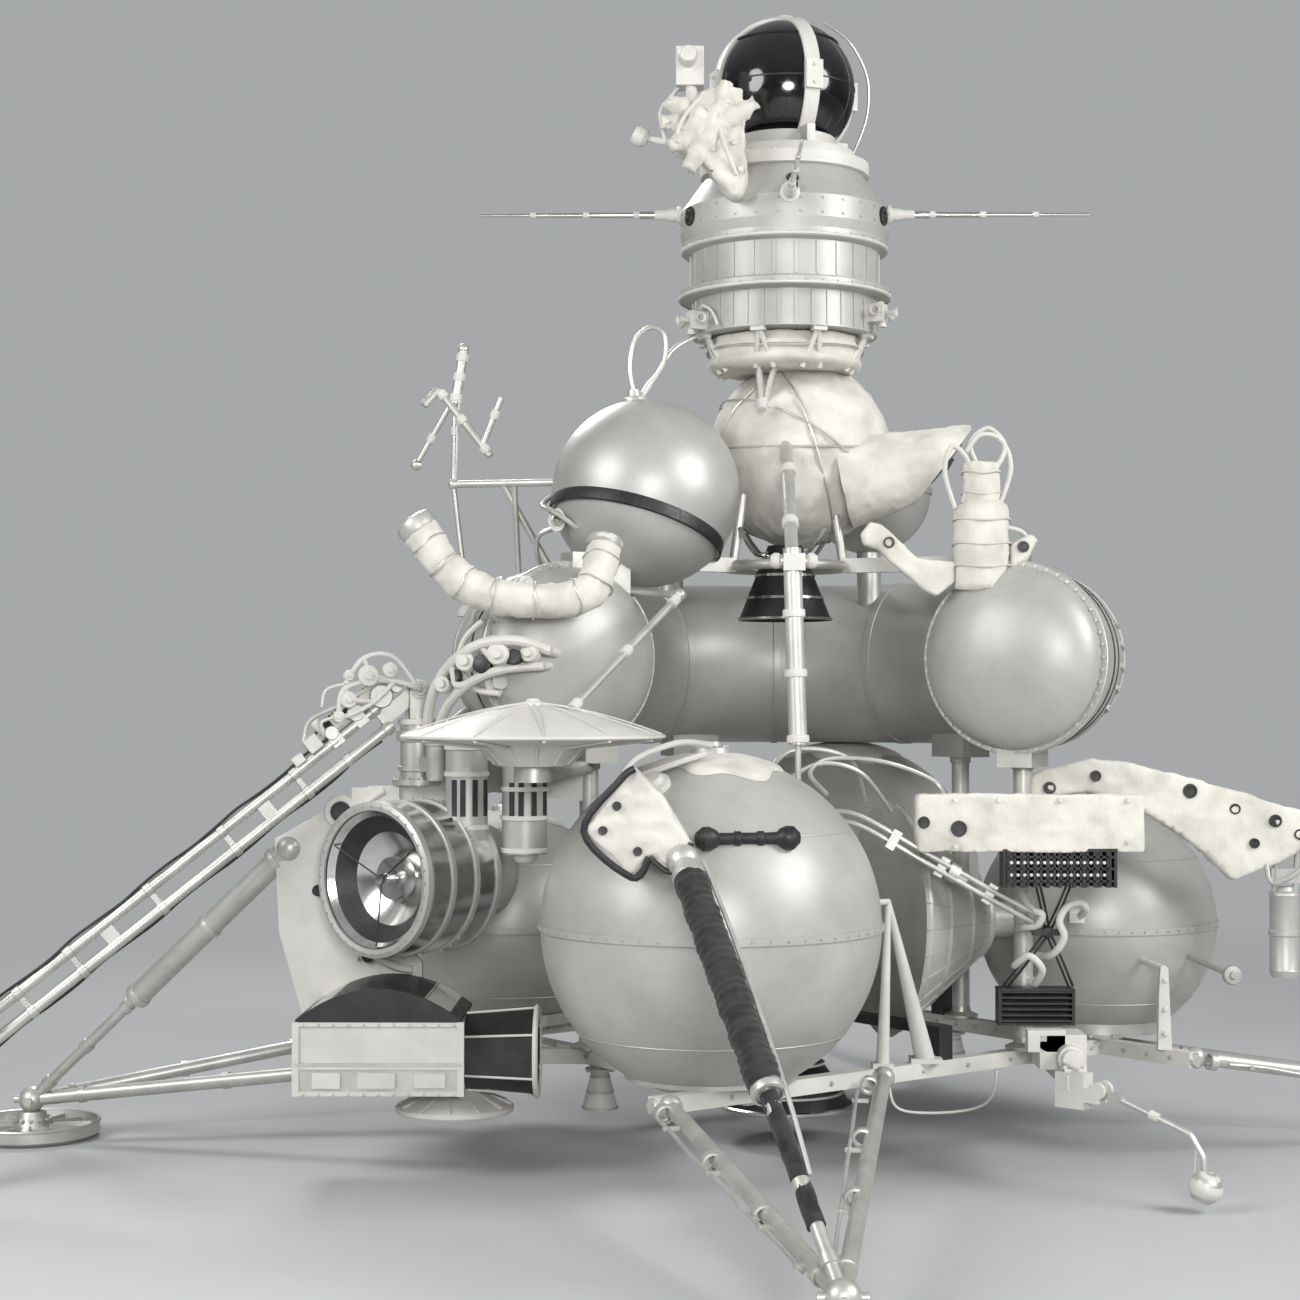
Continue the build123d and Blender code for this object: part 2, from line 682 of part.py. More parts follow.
turnstile_antenna.part.label = "turnstile_antenna"
export_step(turnstile_antenna.part, "parts/turnstile_antenna.step")

# Struts between the stages: start, end, radius
stage_rods = [
    ((-3, -150, 2450), (-12, -700, 2000), 22), ((-12, -700, 2030), (5, -735, 1396), 30),
    ((-70, -702, 1990), (60, -702, 1990), 20), ((5, -733, 1420), (5, -715, 1180), 10),
    ((-374, -532, 1887), (-720, -1080, 1500), 13), ((-374, -532, 1887), (-566, -315, 1907), 12),
    ((-105, -190, 2830), (-88, -125, 2540), 13), ((-15, -190, 2830), (-80, -125, 2540), 13),
]
with BuildPart() as stage_struts:
    for start, end, radius in stage_rods:
        add_rod(start, end, radius)
    add_ball((-374, -532, 1887), 22)
    add_ball(block_centre, block_radius, mode=Mode.SUBTRACT)
    with Locations((0, 0, neck_bottom)):
        Cylinder(neck_radius, 200, align=(Align.CENTER, Align.CENTER, Align.MIN), mode=Mode.SUBTRACT)
    for other in (compartment.part, end_domes.part, ascent_tank.part, ascent_base.part, tanks["tank_front"], dish.part):
        add(other, mode=Mode.SUBTRACT)
stage_struts.part.label = "stage_struts"
export_step(stage_struts.part, "parts/stage_struts.step")

# Instrument bay
bay_profile = [
    (0, bay_bottom), (bay_radius, bay_bottom), (bay_radius, 2945), (bay_radius + 46, 2955), (bay_radius + 46, 2980),
    (bay_radius + 8, 2992), (bay_radius + 8, 3112), (bay_radius + 36, 3120), (bay_radius + 36, 3150),
    (bay_shoulder_radius, 3185), (bay_shoulder_radius, 3262), (280, 3385), (280, bay_top), (0, bay_top),
]
with BuildPart() as instrument_bay:
    with BuildSketch(Plane.XZ):
        with BuildLine():
            Polyline(*bay_profile, close=True)
        make_face()
    revolve(axis=Axis.Z)
instrument_bay.part.label = "instrument_bay"
export_step(instrument_bay.part, "parts/instrument_bay.step")

# Capsule, its seat and straps
with BuildPart() as capsule:
    with Locations((0, 0, capsule_height)):
        Sphere(capsule_radius)
capsule.part.label = "capsule"
export_step(capsule.part, "parts/capsule.step")

with BuildPart() as capsule_seat:
    with Locations((0, 0, bay_top)):
        Cylinder(seat_radius, seat_thickness, align=(Align.CENTER, Align.CENTER, Align.MIN))
        Cylinder(180, 150, align=(Align.CENTER, Align.CENTER, Align.MIN))
    add(capsule.part, mode=Mode.SUBTRACT)
capsule_seat.part.label = "capsule_seat"
export_step(capsule_seat.part, "parts/capsule_seat.step")

with BuildPart() as capsule_straps:
    for angle in (strap_angle, strap_angle + 90):
        plane = Plane(origin=(0, 0, capsule_height), z_dir=polar(1, angle + 90))
        with BuildSketch(plane.offset(-strap_width / 2)):
            Circle(capsule_radius + strap_thickness)
        extrude(amount=strap_width)
    add(capsule.part, mode=Mode.SUBTRACT)
    add(capsule_seat.part, mode=Mode.SUBTRACT)
capsule_straps.part.label = "capsule_straps"
export_step(capsule_straps.part, "parts/capsule_straps.step")

# Sample loading chute, with its housing and a nozzle pot beside the capsule
loader_outline = [(-405, 3425), (-300, 3600), (-165, 3605), (-140, 3290), (-185, 3235), (-300, 3370)]
with BuildPart() as sample_loader:
    with BuildSketch(Plane.XZ.offset(285)):
        with BuildLine():
            Polyline(*loader_outline, close=True)
        make_face()
    extrude(amount=120)
    add(instrument_bay.part, mode=Mode.SUBTRACT)
    with Locations((-338, -255, 3715)):
        Box(96, 90, 135)
    add_rod((-320, -310, 3540), (-338, -262, 3665), 16)
    add_rod((-365, -330, 3430), (-505, -308, 3466), 11)
    add_rod((-485, -311, 3460), (-535, -303, 3474), 30)
sample_loader.part.label = "sample_loader"
export_step(sample_loader.part, "parts/sample_loader.step")

# Rod antennas, each drawn out in four steps
with BuildPart() as rod_antennas:
    rod_start = bay_shoulder_radius - 40
    rod_step = (rod_tip_radius - rod_start) / len(rod_radii)
    for angle in (0, 90, 180, 270):
        for index, radius in enumerate(rod_radii):
            near = polar(rod_start + index * rod_step, angle, rod_height)
            add_rod(near, polar(rod_start + (index + 1) * rod_step, angle, rod_height), radius)
    add(instrument_bay.part, mode=Mode.SUBTRACT)
rod_antennas.part.label = "rod_antennas"
export_step(rod_antennas.part, "parts/rod_antennas.step")

# Boom post on the left bracket, with the spigot that the boom turns on
turn_height = boom_post.Z - 120
with BuildPart() as boom_base:
    with Locations((boom_post.X, boom_post.Y, post_seat)):
        Cylinder(post_radius, turn_height - post_seat, align=(Align.CENTER, Align.CENTER, Align.MIN))
        Cylinder(30, turn_height - post_seat + 12, align=(Align.CENTER, Align.CENTER, Align.MIN))
    add(brackets["bracket_left"], mode=Mode.SUBTRACT)
boom_base.part.label = "boom_post"
export_step(boom_base.part, "parts/boom_post.step")

# Boom. Its own axes: s along the boom, n level and square to it.
heading = degrees(atan2(boom_post.Y, boom_post.X))
level = polar(1, heading)
along = Vector(level.X * cos(radians(boom_drop_angle)), level.Y * cos(radians(boom_drop_angle)), -sin(radians(boom_drop_angle)))
across = polar(1, heading + 90)
boom_end = boom_post + along * boom_length
boom_plane = Plane(origin=boom_post, x_dir=along, z_dir=across)

with BuildPart() as boom_turret:
    turret_seat = turn_height + running_gap
    with Locations(Location((boom_post.X, boom_post.Y, turret_seat), (0, 0, heading))):
        Cylinder(post_radius, yoke_base_height, align=(Align.CENTER, Align.CENTER, Align.MIN))
        Cylinder(30 + running_gap, 12 + running_gap, align=(Align.CENTER, Align.CENTER, Align.MIN), mode=Mode.SUBTRACT)
    for sign in (1, -1):
        side = boom_plane.offset(sign * (boom_lug_width / 2 + 5 + yoke_cheek / 2) - yoke_cheek / 2)
        upright = Plane(origin=side.origin, x_dir=level, z_dir=across)
        with BuildSketch(upright):
            Circle(boom_pin_radius + 16)
            with Locations((0, (boom_post.Z - turret_seat) / 2)):
                Rectangle(2 * (boom_pin_radius + 16), boom_post.Z - turret_seat)
        extrude(amount=yoke_cheek)
    with BuildSketch(boom_plane.offset(-boom_lug_width / 2 - 5 - yoke_cheek)):
        Circle(boom_pin_radius)
    extrude(amount=boom_lug_width + 10 + 2 * yoke_cheek)
    with Locations((boom_post.X, boom_post.Y, turret_seat)):
        Cylinder(30 + running_gap, 12 + running_gap, align=(Align.CENTER, Align.CENTER, Align.MIN), mode=Mode.SUBTRACT)
boom_turret.part.label = "boom_turret"
export_step(boom_turret.part, "parts/boom_turret.step")

with BuildPart() as boom_arm:
    for distance in (0, boom_length):
        with BuildSketch(boom_plane.offset(-boom_lug_width / 2)):
            with Locations((distance, 0)):
                Circle(boom_lug_radius - 12 if distance == 0 else boom_lug_radius)
        extrude(amount=boom_lug_width)
    with BuildSketch(boom_plane.offset(-boom_lug_width / 4)):
        with Locations((90, 0), (boom_length - 90, 0)):
            Rectangle(150, boom_tube_spacing * 0.7)
        with Locations((boom_length * 0.33, 0), (boom_length * 0.66, 0)):
            Rectangle(46, boom_tube_spacing)
    extrude(amount=boom_lug_width / 2)
    for sign in (1, -1):
        start = boom_plane.from_local_coords((140, sign * boom_tube_spacing / 2, 0))
        end = boom_plane.from_local_coords((boom_length - 70, sign * boom_tube_spacing / 2, 0))
        add_rod(start, end, boom_tube_radius)
    with BuildSketch(boom_plane.offset(-boom_lug_width)):
        with Locations((0, 0)):
            Circle(boom_pin_radius + running_gap)
        with Locations((boom_length, 0)):
            Circle(boom_pin_radius + running_gap)
    extrude(amount=2 * boom_lug_width, mode=Mode.SUBTRACT)
boom_arm.part.label = "boom_arm"
export_step(boom_arm.part, "parts/boom_arm.step")

# Drill head at the boom's end, upright, on the viewer's side of the boom
drill_axis = boom_end - across * -drill_side_offset
wrist_plane = Plane(origin=boom_end, x_dir=level, z_dir=across)
bush_length = 30
with BuildPart() as drill_head:
    with Locations((drill_axis.X, drill_axis.Y, drill_axis.Z - drill_below)):
        Cylinder(drill_radius, drill_below + drill_above, align=(Align.CENTER, Align.CENTER, Align.MIN))
    with BuildSketch(wrist_plane.offset(-boom_lug_width / 2 - 8)):
        Circle(boom_pin_radius)
    extrude(amount=boom_lug_width / 2 + 8 + drill_side_offset)
    with Locations((drill_axis.X, drill_axis.Y, drill_axis.Z - drill_below + bush_length)):
        Cylinder(bit_radius + 10, drill_below + drill_above - bush_length - 16,
                 align=(Align.CENTER, Align.CENTER, Align.MIN), mode=Mode.SUBTRACT)
    with Locations((drill_axis.X, drill_axis.Y, drill_axis.Z - drill_below)):
        Cylinder(bit_radius + running_gap, bush_length, align=(Align.CENTER, Align.CENTER, Align.MIN), mode=Mode.SUBTRACT)
drill_head.part.label = "drill_head"
export_step(drill_head.part, "parts/drill_head.step")

with BuildPart() as drill_bit:
    with Locations((drill_axis.X, drill_axis.Y, bit_tip_height)):
        Cylinder(bit_radius, bit_length, align=(Align.CENTER, Align.CENTER, Align.MIN))
        Cylinder(bit_radius - 4, bit_length * 0.6, align=(Align.CENTER, Align.CENTER, Align.MIN), mode=Mode.SUBTRACT)
drill_bit.part.label = "drill_bit"
export_step(drill_bit.part, "parts/drill_bit.step")

# Sensor arm: a bar from the frame carries its hinge, and the arm reaches out and down to a ball
sensor_hinge = Vector(930, -960, 330)
sensor_ball = Vector(1200, -1180, 76)
sensor_reach = Vector(sensor_ball.X - sensor_hinge.X, sensor_ball.Y - sensor_hinge.Y, 0)
sensor_level = sensor_reach.normalized()
sensor_plane = Plane(origin=sensor_hinge, x_dir=sensor_level, z_dir=sensor_level.cross(Vector(0, 0, 1)))
sensor_lug_width = 24
sensor_pin_radius = 9
sensor_bar_x = 860
with BuildPart() as sensor_mount:
    with Locations((sensor_bar_x, -300, frame_bottom)):
        Box(60, 625, frame_height, align=(Align.CENTER, Align.MAX, Align.MIN))
    for sign in (1, -1):
        with BuildSketch(sensor_plane.offset(sign * (sensor_lug_width / 2 + 5 + 7) - 7)):
            Circle(26)
            with Locations((-60, -18)):
                Rectangle(130, 44)
        extrude(amount=14)
    with BuildSketch(sensor_plane.offset(-sensor_lug_width / 2 - 5 - 14)):
        with Locations((-95, -8)):
            Rectangle(100, 110)
    extrude(amount=sensor_lug_width + 38)
    with BuildSketch(sensor_plane.offset(-sensor_lug_width / 2 - 5 - 14)):
        Circle(sensor_pin_radius)
    extrude(amount=sensor_lug_width + 38)
    add(base_frame.part, mode=Mode.SUBTRACT)
sensor_mount.part.label = "sensor_mount"
export_step(sensor_mount.part, "parts/sensor_mount.step")

with BuildPart() as sensor_arm:
    with BuildSketch(sensor_plane.offset(-sensor_lug_width / 2)):
        Circle(22)
        with Locations((40, -14)):
            Rectangle(70, 22)
    extrude(amount=sensor_lug_width)
    knee = (300, -100)
    low = (sensor_reach.length, sensor_ball.Z - sensor_hinge.Z)
    with BuildLine(sensor_plane) as sensor_path:
        FilletPolyline((60, -20), knee, (low[0] - 6, low[1] + 90), low, radius=38)
    with BuildSketch(Plane(origin=sensor_path.line @ 0, z_dir=sensor_path.line % 0)):
        Circle(10)
    sweep(path=sensor_path.line)
    add_ball(sensor_ball, 50)
    with BuildSketch(sensor_plane.offset(-sensor_lug_width)):
        Circle(sensor_pin_radius + running_gap)
    extrude(amount=2 * sensor_lug_width, mode=Mode.SUBTRACT)
sensor_arm.part.label = "sensor_arm"
export_step(sensor_arm.part, "parts/sensor_arm.step")
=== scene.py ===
import json
import math
import random

import bmesh
import bpy
from mathutils import Matrix, Vector, noise


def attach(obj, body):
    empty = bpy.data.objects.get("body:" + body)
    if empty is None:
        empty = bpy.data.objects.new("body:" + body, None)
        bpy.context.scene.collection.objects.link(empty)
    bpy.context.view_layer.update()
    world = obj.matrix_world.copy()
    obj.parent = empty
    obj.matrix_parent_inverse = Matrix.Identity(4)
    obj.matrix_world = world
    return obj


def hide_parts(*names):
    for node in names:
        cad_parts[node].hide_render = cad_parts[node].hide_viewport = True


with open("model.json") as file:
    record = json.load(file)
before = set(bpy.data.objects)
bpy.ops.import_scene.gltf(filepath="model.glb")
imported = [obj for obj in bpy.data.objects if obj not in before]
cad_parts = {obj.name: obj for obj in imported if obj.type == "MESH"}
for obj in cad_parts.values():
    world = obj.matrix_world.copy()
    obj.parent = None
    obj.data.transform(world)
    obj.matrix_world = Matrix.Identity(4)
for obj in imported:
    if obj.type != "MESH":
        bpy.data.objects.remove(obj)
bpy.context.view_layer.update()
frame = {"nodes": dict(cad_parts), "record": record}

# Lunar sample return lander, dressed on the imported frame. Metres, +Z up, the origin on the ground
# below the ascent stage's axis, the viewer at -Y.

up = Vector((0, 0, 1))
toViewer = Vector((0, -1, 0))
scene = bpy.context.scene


# Small tools


def linear(code):
    # sRGB hex to the linear colour that shaders take
    values = [int(code[i:i + 2], 16) / 255 for i in (1, 3, 5)]
    return tuple(v / 12.92 if v <= 0.04045 else ((v + 0.055) / 1.055) ** 2.4 for v in values) + (1.0,)


def addNode(tree, kind, sockets=None, **settings):
    node = tree.nodes.new(kind)
    for key, value in settings.items():
        setattr(node, key, value)
    for name, value in (sockets or {}).items():
        if isinstance(value, bpy.types.NodeSocket):
            tree.links.new(value, node.inputs[name])
        else:
            node.inputs[name].default_value = value
    return node


def turned(origin, axis, spin=0.0):
    # places local Z along the axis, at the origin
    rotation = Vector(axis).to_track_quat("Z", "Y").to_matrix().to_4x4()
    return Matrix.Translation(Vector(origin)) @ rotation @ Matrix.Rotation(spin, 4, "Z")


def around(count, start=0.0):
    # angles of equal steps round a ring, in radians
    return [start + 2 * math.pi * k / count for k in range(count)]


def onRing(radius, angle, height=0.0):
    # point on a level ring, by an angle in radians
    return Vector((radius * math.cos(angle), radius * math.sin(angle), height))


def polar(radius, angle, height=0.0):
    # the same by an angle in degrees
    return onRing(radius, math.radians(angle), height)


def smoothPath(points, steps=6, closed=False):
    # Catmull-Rom curve through the points
    points = [Vector(p) for p in points]
    count = len(points)
    result = []
    for i in range(count if closed else count - 1):
        if closed:
            a, b, c, d = (points[(i + k) % count] for k in (-1, 0, 1, 2))
        else:
            a, b, c, d = (points[min(max(i + k, 0), count - 1)] for k in (-1, 0, 1, 2))
        for step in range(steps):
            t = step / steps
            result.append(0.5 * ((2 * b) + (c - a) * t + (2 * a - 5 * b + 4 * c - d) * t * t
                                 + (3 * b - a - 3 * c + d) * t * t * t))
    if not closed:
        result.append(points[-1])
    return result


def bridge(bm, low, high):
    # faces between two rings of vertices; a ring of one vertex is a tip
    count = max(len(low), len(high))
    for k in range(count if count > 1 else 0):
        after = (k + 1) % count
        if len(low) == 1:
            bm.faces.new((low[0], high[after], high[k]))
        elif len(high) == 1:
            bm.faces.new((low[k], low[after], high[0]))
        else:
            bm.faces.new((low[k], low[after], high[after], high[k]))


def addTube(bm, points, radius, sides=10, closed=False):
    # round tube along the points; radius is a number or a function of the share along it
    points = [Vector(p) for p in points]
    count = len(points)
    rings = []
    normal = None
    for i, point in enumerate(points):
        ahead = points[(i + 1) % count] if closed or i < count - 1 else point
        behind = points[i - 1] if closed or i > 0 else point
        tangent = (ahead - behind).normalized()
        if normal is None:
            normal = tangent.orthogonal().normalized()
        normal = (normal - tangent * normal.dot(tangent)).normalized()
        side = tangent.cross(normal)
        width = radius(i / (count - 1)) if callable(radius) else radius
        rings.append([bm.verts.new(point + (normal * math.cos(angle) + side * math.sin(angle)) * width)
                      for angle in around(sides)])
    for low, high in zip(rings, rings[1:]):
        bridge(bm, low, high)
    if closed:
        bridge(bm, rings[-1], rings[0])
    else:
        bm.faces.new(rings[0][::-1])
        bm.faces.new(rings[-1])


def addPipe(bm, path, radius, sides=8, steps=8):
    # tube along the smooth curve through a few points
    addTube(bm, smoothPath(path, steps), radius, sides)


def addLathe(bm, profile, origin, axis, steps=40):
    # (radius, height) pairs turned about the axis; a radius of zero makes a tip
    place = turned(origin, axis)
    rings = []
    for radius, height in profile:
        angles = around(steps) if radius > 1e-5 else [0.0]
        rings.append([bm.verts.new(place @ onRing(radius, angle, height)) for angle in angles])
    for low, high in zip(rings, rings[1:]):
        bridge(bm, low, high)


def collar(inner, outer, half, soft=0.002, at=0.0, crown=0.0):
    # profile of a band: half its length, its softened edges and, in the middle, a crown
    middle = [(outer + crown, at)] if crown else []
    return [(inner, at - half), (outer, at - half + soft), *middle, (outer, at + half - soft),
            (inner, at + half)]


def addBolt(bm, origin, axis, size=0.007):
    # hexagon head on a washer; all lengths are shares of the head's radius
    place = turned(origin, axis)
    for segments, foot, wide, narrow, depth in ((12, 0.0, 1.35, 1.3, 0.4), (6, 0.35, 1.0, 0.92, 0.9)):
        lift = Matrix.Translation((0, 0, size * (foot + depth / 2)))
        bmesh.ops.create_cone(bm, cap_ends=True, segments=segments, radius1=size * wide,
                              radius2=size * narrow, depth=size * depth, matrix=place @ lift)


def addBoltRing(bm, centre, axis, radius, count, size, start=0.0):
    # bolts that look along the axis
    place = turned(centre, axis)
    for angle in around(count, start):
        addBolt(bm, place @ onRing(radius, angle), axis, size)


def addStuds(bm, centre, axis, radius, count, size):
    # bolts that look outward from the axis
    place = turned(centre, axis)
    for angle in around(count):
        addBolt(bm, place @ onRing(radius, angle), place.to_3x3() @ onRing(1, angle), size)


def addPort(bm, spot, size):
    # round port in a raised eyelet, turned to the viewer
    addLathe(bm, [(0.0, 0.0), (size, 0.001), (size * 1.05, 0.004), (size * 1.3, 0.004),
                  (size * 1.4, -0.01)], spot, toViewer, 24)


def addBlock(bm, centre, size, axis=(0, 0, 1), spin=0.0):
    # box by centre and size, its Z along the axis
    scale = Matrix.Diagonal((*size, 1))
    bmesh.ops.create_cube(bm, size=1, matrix=turned(centre, axis, spin) @ scale)


def addPlate(bm, outline, place, thickness):
    # polygon in the place's XY plane, thick along its Z
    low, high = ([bm.verts.new(place @ Vector((x, y, z))) for x, y in outline] for z in (0, thickness))
    bm.faces.new(low[::-1])
    bm.faces.new(high)
    bridge(bm, low, high)


def facing(y):
    # place for a plate: local X along +X, local Y up, thick towards the viewer
    return Matrix(((1, 0, 0, 0), (0, 0, -1, y), (0, 1, 0, 0), (0, 0, 0, 1)))


def makePiece(name, bm, material, body="lander", replaced=(), bevel=0.0, smooth=35):
    # object from the mesh, on its body
    mesh = bpy.data.meshes.new(name)
    bmesh.ops.recalc_face_normals(bm, faces=bm.faces)
    bm.to_mesh(mesh)
    bm.free()
    obj = bpy.data.objects.new(name, mesh)
    bpy.context.collection.objects.link(obj)
    mesh.materials.append(material)
    mesh.shade_smooth()
    if smooth < 180:
        mesh.set_sharp_from_angle(angle=math.radians(smooth))
    if bevel:
        edge = obj.modifiers.new("softEdge", "BEVEL")
        edge.width = bevel
        edge.segments = 2
        edge.limit_method = "ANGLE"
    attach(obj, body)
    if replaced:
        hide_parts(*replaced)
    return obj


# Materials. stain and grain are the sizes in millimetres of the broad patches and of the fine
# texture; bump is the height of the grain in millimetres.

materialTable = [
    # spun and welded aluminium: soft satin sheen with faint cloudy handling marks
    dict(name="spunSatinAluminium", dark="#a9a8a4", light="#b9b8b4", metallic=0.40, rough=(0.38, 0.50),
         stain=260, grain=3.0, bump=0.10, stretch=(1, 1, 5)),
    # lacquered pressure shells: pale, with a soft wide highlight
    dict(name="lacqueredPaleShell", dark="#a1a09b", light="#b4b3ae", metallic=0.15, rough=(0.34, 0.46),
         stain=240, grain=3.0, bump=0.08, stretch=(1, 1, 5)),
    # milled alloy of the frame and the rods: brighter, with fine drawing lines
    dict(name="drawnFrameAlloy", dark="#b3b2ad", light="#cdccc6", metallic=0.6, rough=(0.34, 0.50),
         stain=110, grain=2.0, bump=0.08, stretch=(1, 1, 8)),
    # sprayed heat-control enamel: chalky off-white with slight orange peel and greyed patches
    dict(name="sprayedWhiteEnamel", dark="#bcbab4", light="#d0cec8", metallic=0.0, rough=(0.42, 0.60),
         stain=210, grain=4.0, bump=0.14, stretch=(1, 1, 1)),
    # turned and polished alloy: clean mirror with hairlines
    dict(name="polishedSheetAlloy", dark="#c2c2bf", light="#e2e2df", metallic=1.0, rough=(0.14, 0.28),
         stain=90, grain=1.5, bump=0.03, stretch=(1, 1, 14)),
    # black enamel on cast parts: dark satin with dusty bloom
    dict(name="blackStovedEnamel", dark="#121315", light="#2c2c2d", metallic=0.0, rough=(0.34, 0.58),
         stain=70, grain=3.0, bump=0.12, stretch=(1, 1, 1)),
    # ground drill steel
    dict(name="groundDrillSteel", dark="#77777a", light="#a8a8a6", metallic=1.0, rough=(0.26, 0.44),
         stain=40, grain=0.8, bump=0.05, stretch=(1, 1, 20)),
    # charred ablative of the return capsule: near black and glossy
    dict(name="glossBlackAblator", dark="#070708", light="#17171a", metallic=0.0, rough=(0.08, 0.20),
         stain=120, grain=5.0, bump=0.05, stretch=(1, 1, 1), coat=0.6),
]


def makeMaterial(spec):
    material = bpy.data.materials.new(spec["name"])
    material.use_nodes = True
    tree = material.node_tree
    shader = tree.nodes["Principled BSDF"]
    place = addNode(tree, "ShaderNodeTexCoord").outputs["Object"]
    cloud = addNode(tree, "ShaderNodeTexNoise",
                    {"Vector": place, "Scale": 1000 / spec["stain"], "Detail": 5.0, "Roughness": 0.62})
    drawn = addNode(tree, "ShaderNodeMapping", {"Vector": place, "Scale": spec["stretch"]})
    grain = addNode(tree, "ShaderNodeTexNoise",
                    {"Vector": drawn.outputs[0], "Scale": 1000 / spec["grain"] / 3, "Detail": 3.0})
    ramp = addNode(tree, "ShaderNodeValToRGB", {"Fac": cloud.outputs[0]})
    ramp.color_ramp.elements[0].position = 0.30
    ramp.color_ramp.elements[0].color = linear(spec["dark"])
    ramp.color_ramp.elements[1].position = 0.70
    ramp.color_ramp.elements[1].color = linear(spec["light"])
    tree.links.new(ramp.outputs[0], shader.inputs["Base Color"])
    low, high = spec["rough"]
    gloss = addNode(tree, "ShaderNodeMapRange",
                    {"Value": grain.outputs[0], "From Min": 0.3, "From Max": 0.7, "To Min": low,
                     "To Max": high})
    tree.links.new(gloss.outputs[0], shader.inputs["Roughness"])
    relief = addNode(tree, "ShaderNodeBump",
                     {"Height": grain.outputs[0], "Strength": 1.0, "Distance": spec["bump"] / 1000})
    tree.links.new(relief.outputs[0], shader.inputs["Normal"])
    shader.inputs["Metallic"].default_value = spec["metallic"]
    if "coat" in spec:
        shader.inputs["Coat Weight"].default_value = spec["coat"]
        shader.inputs["Coat Roughness"].default_value = 0.06
    return material


materials = {spec["name"]: makeMaterial(spec) for spec in materialTable}


# Cloth and tape: crease and weave are the sizes in millimetres of the folds and of the threads,
# drawn coarser than the real 0.5 mm; height is the depth of the creases in millimetres.

clothTable = [
    # plain-woven heat-control cloth: matt and pale, with soft creases and grime
    dict(name="wrappedWhiteCloth", dark="#b9b6ad", light="#d0cdc4", crease=60, weave=4.0, height=2.2),
    # wound insulating tape: matt black with narrow folds
    dict(name="wrappedBlackTape", dark="#0e0e0f", light="#2b2a2a", crease=24, weave=3.0, height=1.2),
]


def makeCloth(spec):
    material = bpy.data.materials.new(spec["name"])
    material.use_nodes = True
    tree = material.node_tree
    shader = tree.nodes["Principled BSDF"]
    place = addNode(tree, "ShaderNodeTexCoord").outputs["Object"]
    foldScale = 1000 / spec["crease"]
    fold = addNode(tree, "ShaderNodeTexVoronoi", {"Vector": place, "Scale": foldScale},
                   feature="DISTANCE_TO_EDGE")
    soft = addNode(tree, "ShaderNodeTexNoise", {"Vector": place, "Scale": foldScale / 2, "Detail": 6.0})
    ramp = addNode(tree, "ShaderNodeValToRGB", {"Fac": soft.outputs[0]})
    ramp.color_ramp.elements[0].position = 0.34
    ramp.color_ramp.elements[0].color = linear(spec["dark"])
    ramp.color_ramp.elements[1].position = 0.58
    ramp.color_ramp.elements[1].color = linear(spec["light"])
    tree.links.new(ramp.outputs[0], shader.inputs["Base Color"])
    threads = addNode(tree, "ShaderNodeTexWave",
                      {"Vector": place, "Scale": 1000 / spec["weave"] / 6, "Distortion": 1.5},
                      wave_type="BANDS")
    heights = addNode(tree, "ShaderNodeMath", {0: soft.outputs[0], 1: 0.8}, operation="MULTIPLY")
    both = addNode(tree, "ShaderNodeMath", {0: heights.outputs[0], 1: fold.outputs[0]}, operation="ADD")
    crease = addNode(tree, "ShaderNodeBump", {"Height": both.outputs[0], "Distance": spec["height"] / 1000})
    weave = addNode(tree, "ShaderNodeBump",
                    {"Height": threads.outputs[1], "Distance": 0.0003, "Normal": crease.outputs[0]})
    tree.links.new(weave.outputs[0], shader.inputs["Normal"])
    shader.inputs["Roughness"].default_value = 0.88
    shader.inputs["Sheen Weight"].default_value = 0.15
    return material


materials.update({spec["name"]: makeCloth(spec) for spec in clothTable})

aluminium = materials["spunSatinAluminium"]
paleShell = materials["lacqueredPaleShell"]
frameAlloy = materials["drawnFrameAlloy"]
enamel = materials["sprayedWhiteEnamel"]
polished = materials["polishedSheetAlloy"]
black = materials["blackStovedEnamel"]
steel = materials["groundDrillSteel"]
ablator = materials["glossBlackAblator"]
cloth = materials["wrappedWhiteCloth"]
blackTape = materials["wrappedBlackTape"]

slotMaterials = {
    "grey_alloy": aluminium, "frame_alloy": frameAlloy, "white_enamel": enamel, "polished_alloy": polished,
    "white_blanket": cloth, "dark_enamel": black, "drill_steel": steel, "dark_shell": ablator,
}
usualSlot = {material.name: slot for slot, material in slotMaterials.items()}
usualSlot.update({paleShell.name: "grey_alloy", blackTape.name: "dark_enamel"})

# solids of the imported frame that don't wear their slot's usual material
nodeMaterials = dict.fromkeys(["cone_housing", "compartment", "end_domes", "instrument_bay", "tank_front",
                               "tank_right", "tank_left", "tank_rear"], paleShell)
nodeMaterials["base_frame"] = enamel
slotOf = {part["node"]: part["material_slot"] for part in frame["record"]["subparts"]}
for name, node in frame["nodes"].items():
    node.data.materials.clear()
    node.data.materials.append(nodeMaterials.get(name, slotMaterials[slotOf[name]]))
print("stage materials")


# Wrapped blankets: closed forms of cloth, crumpled and tied


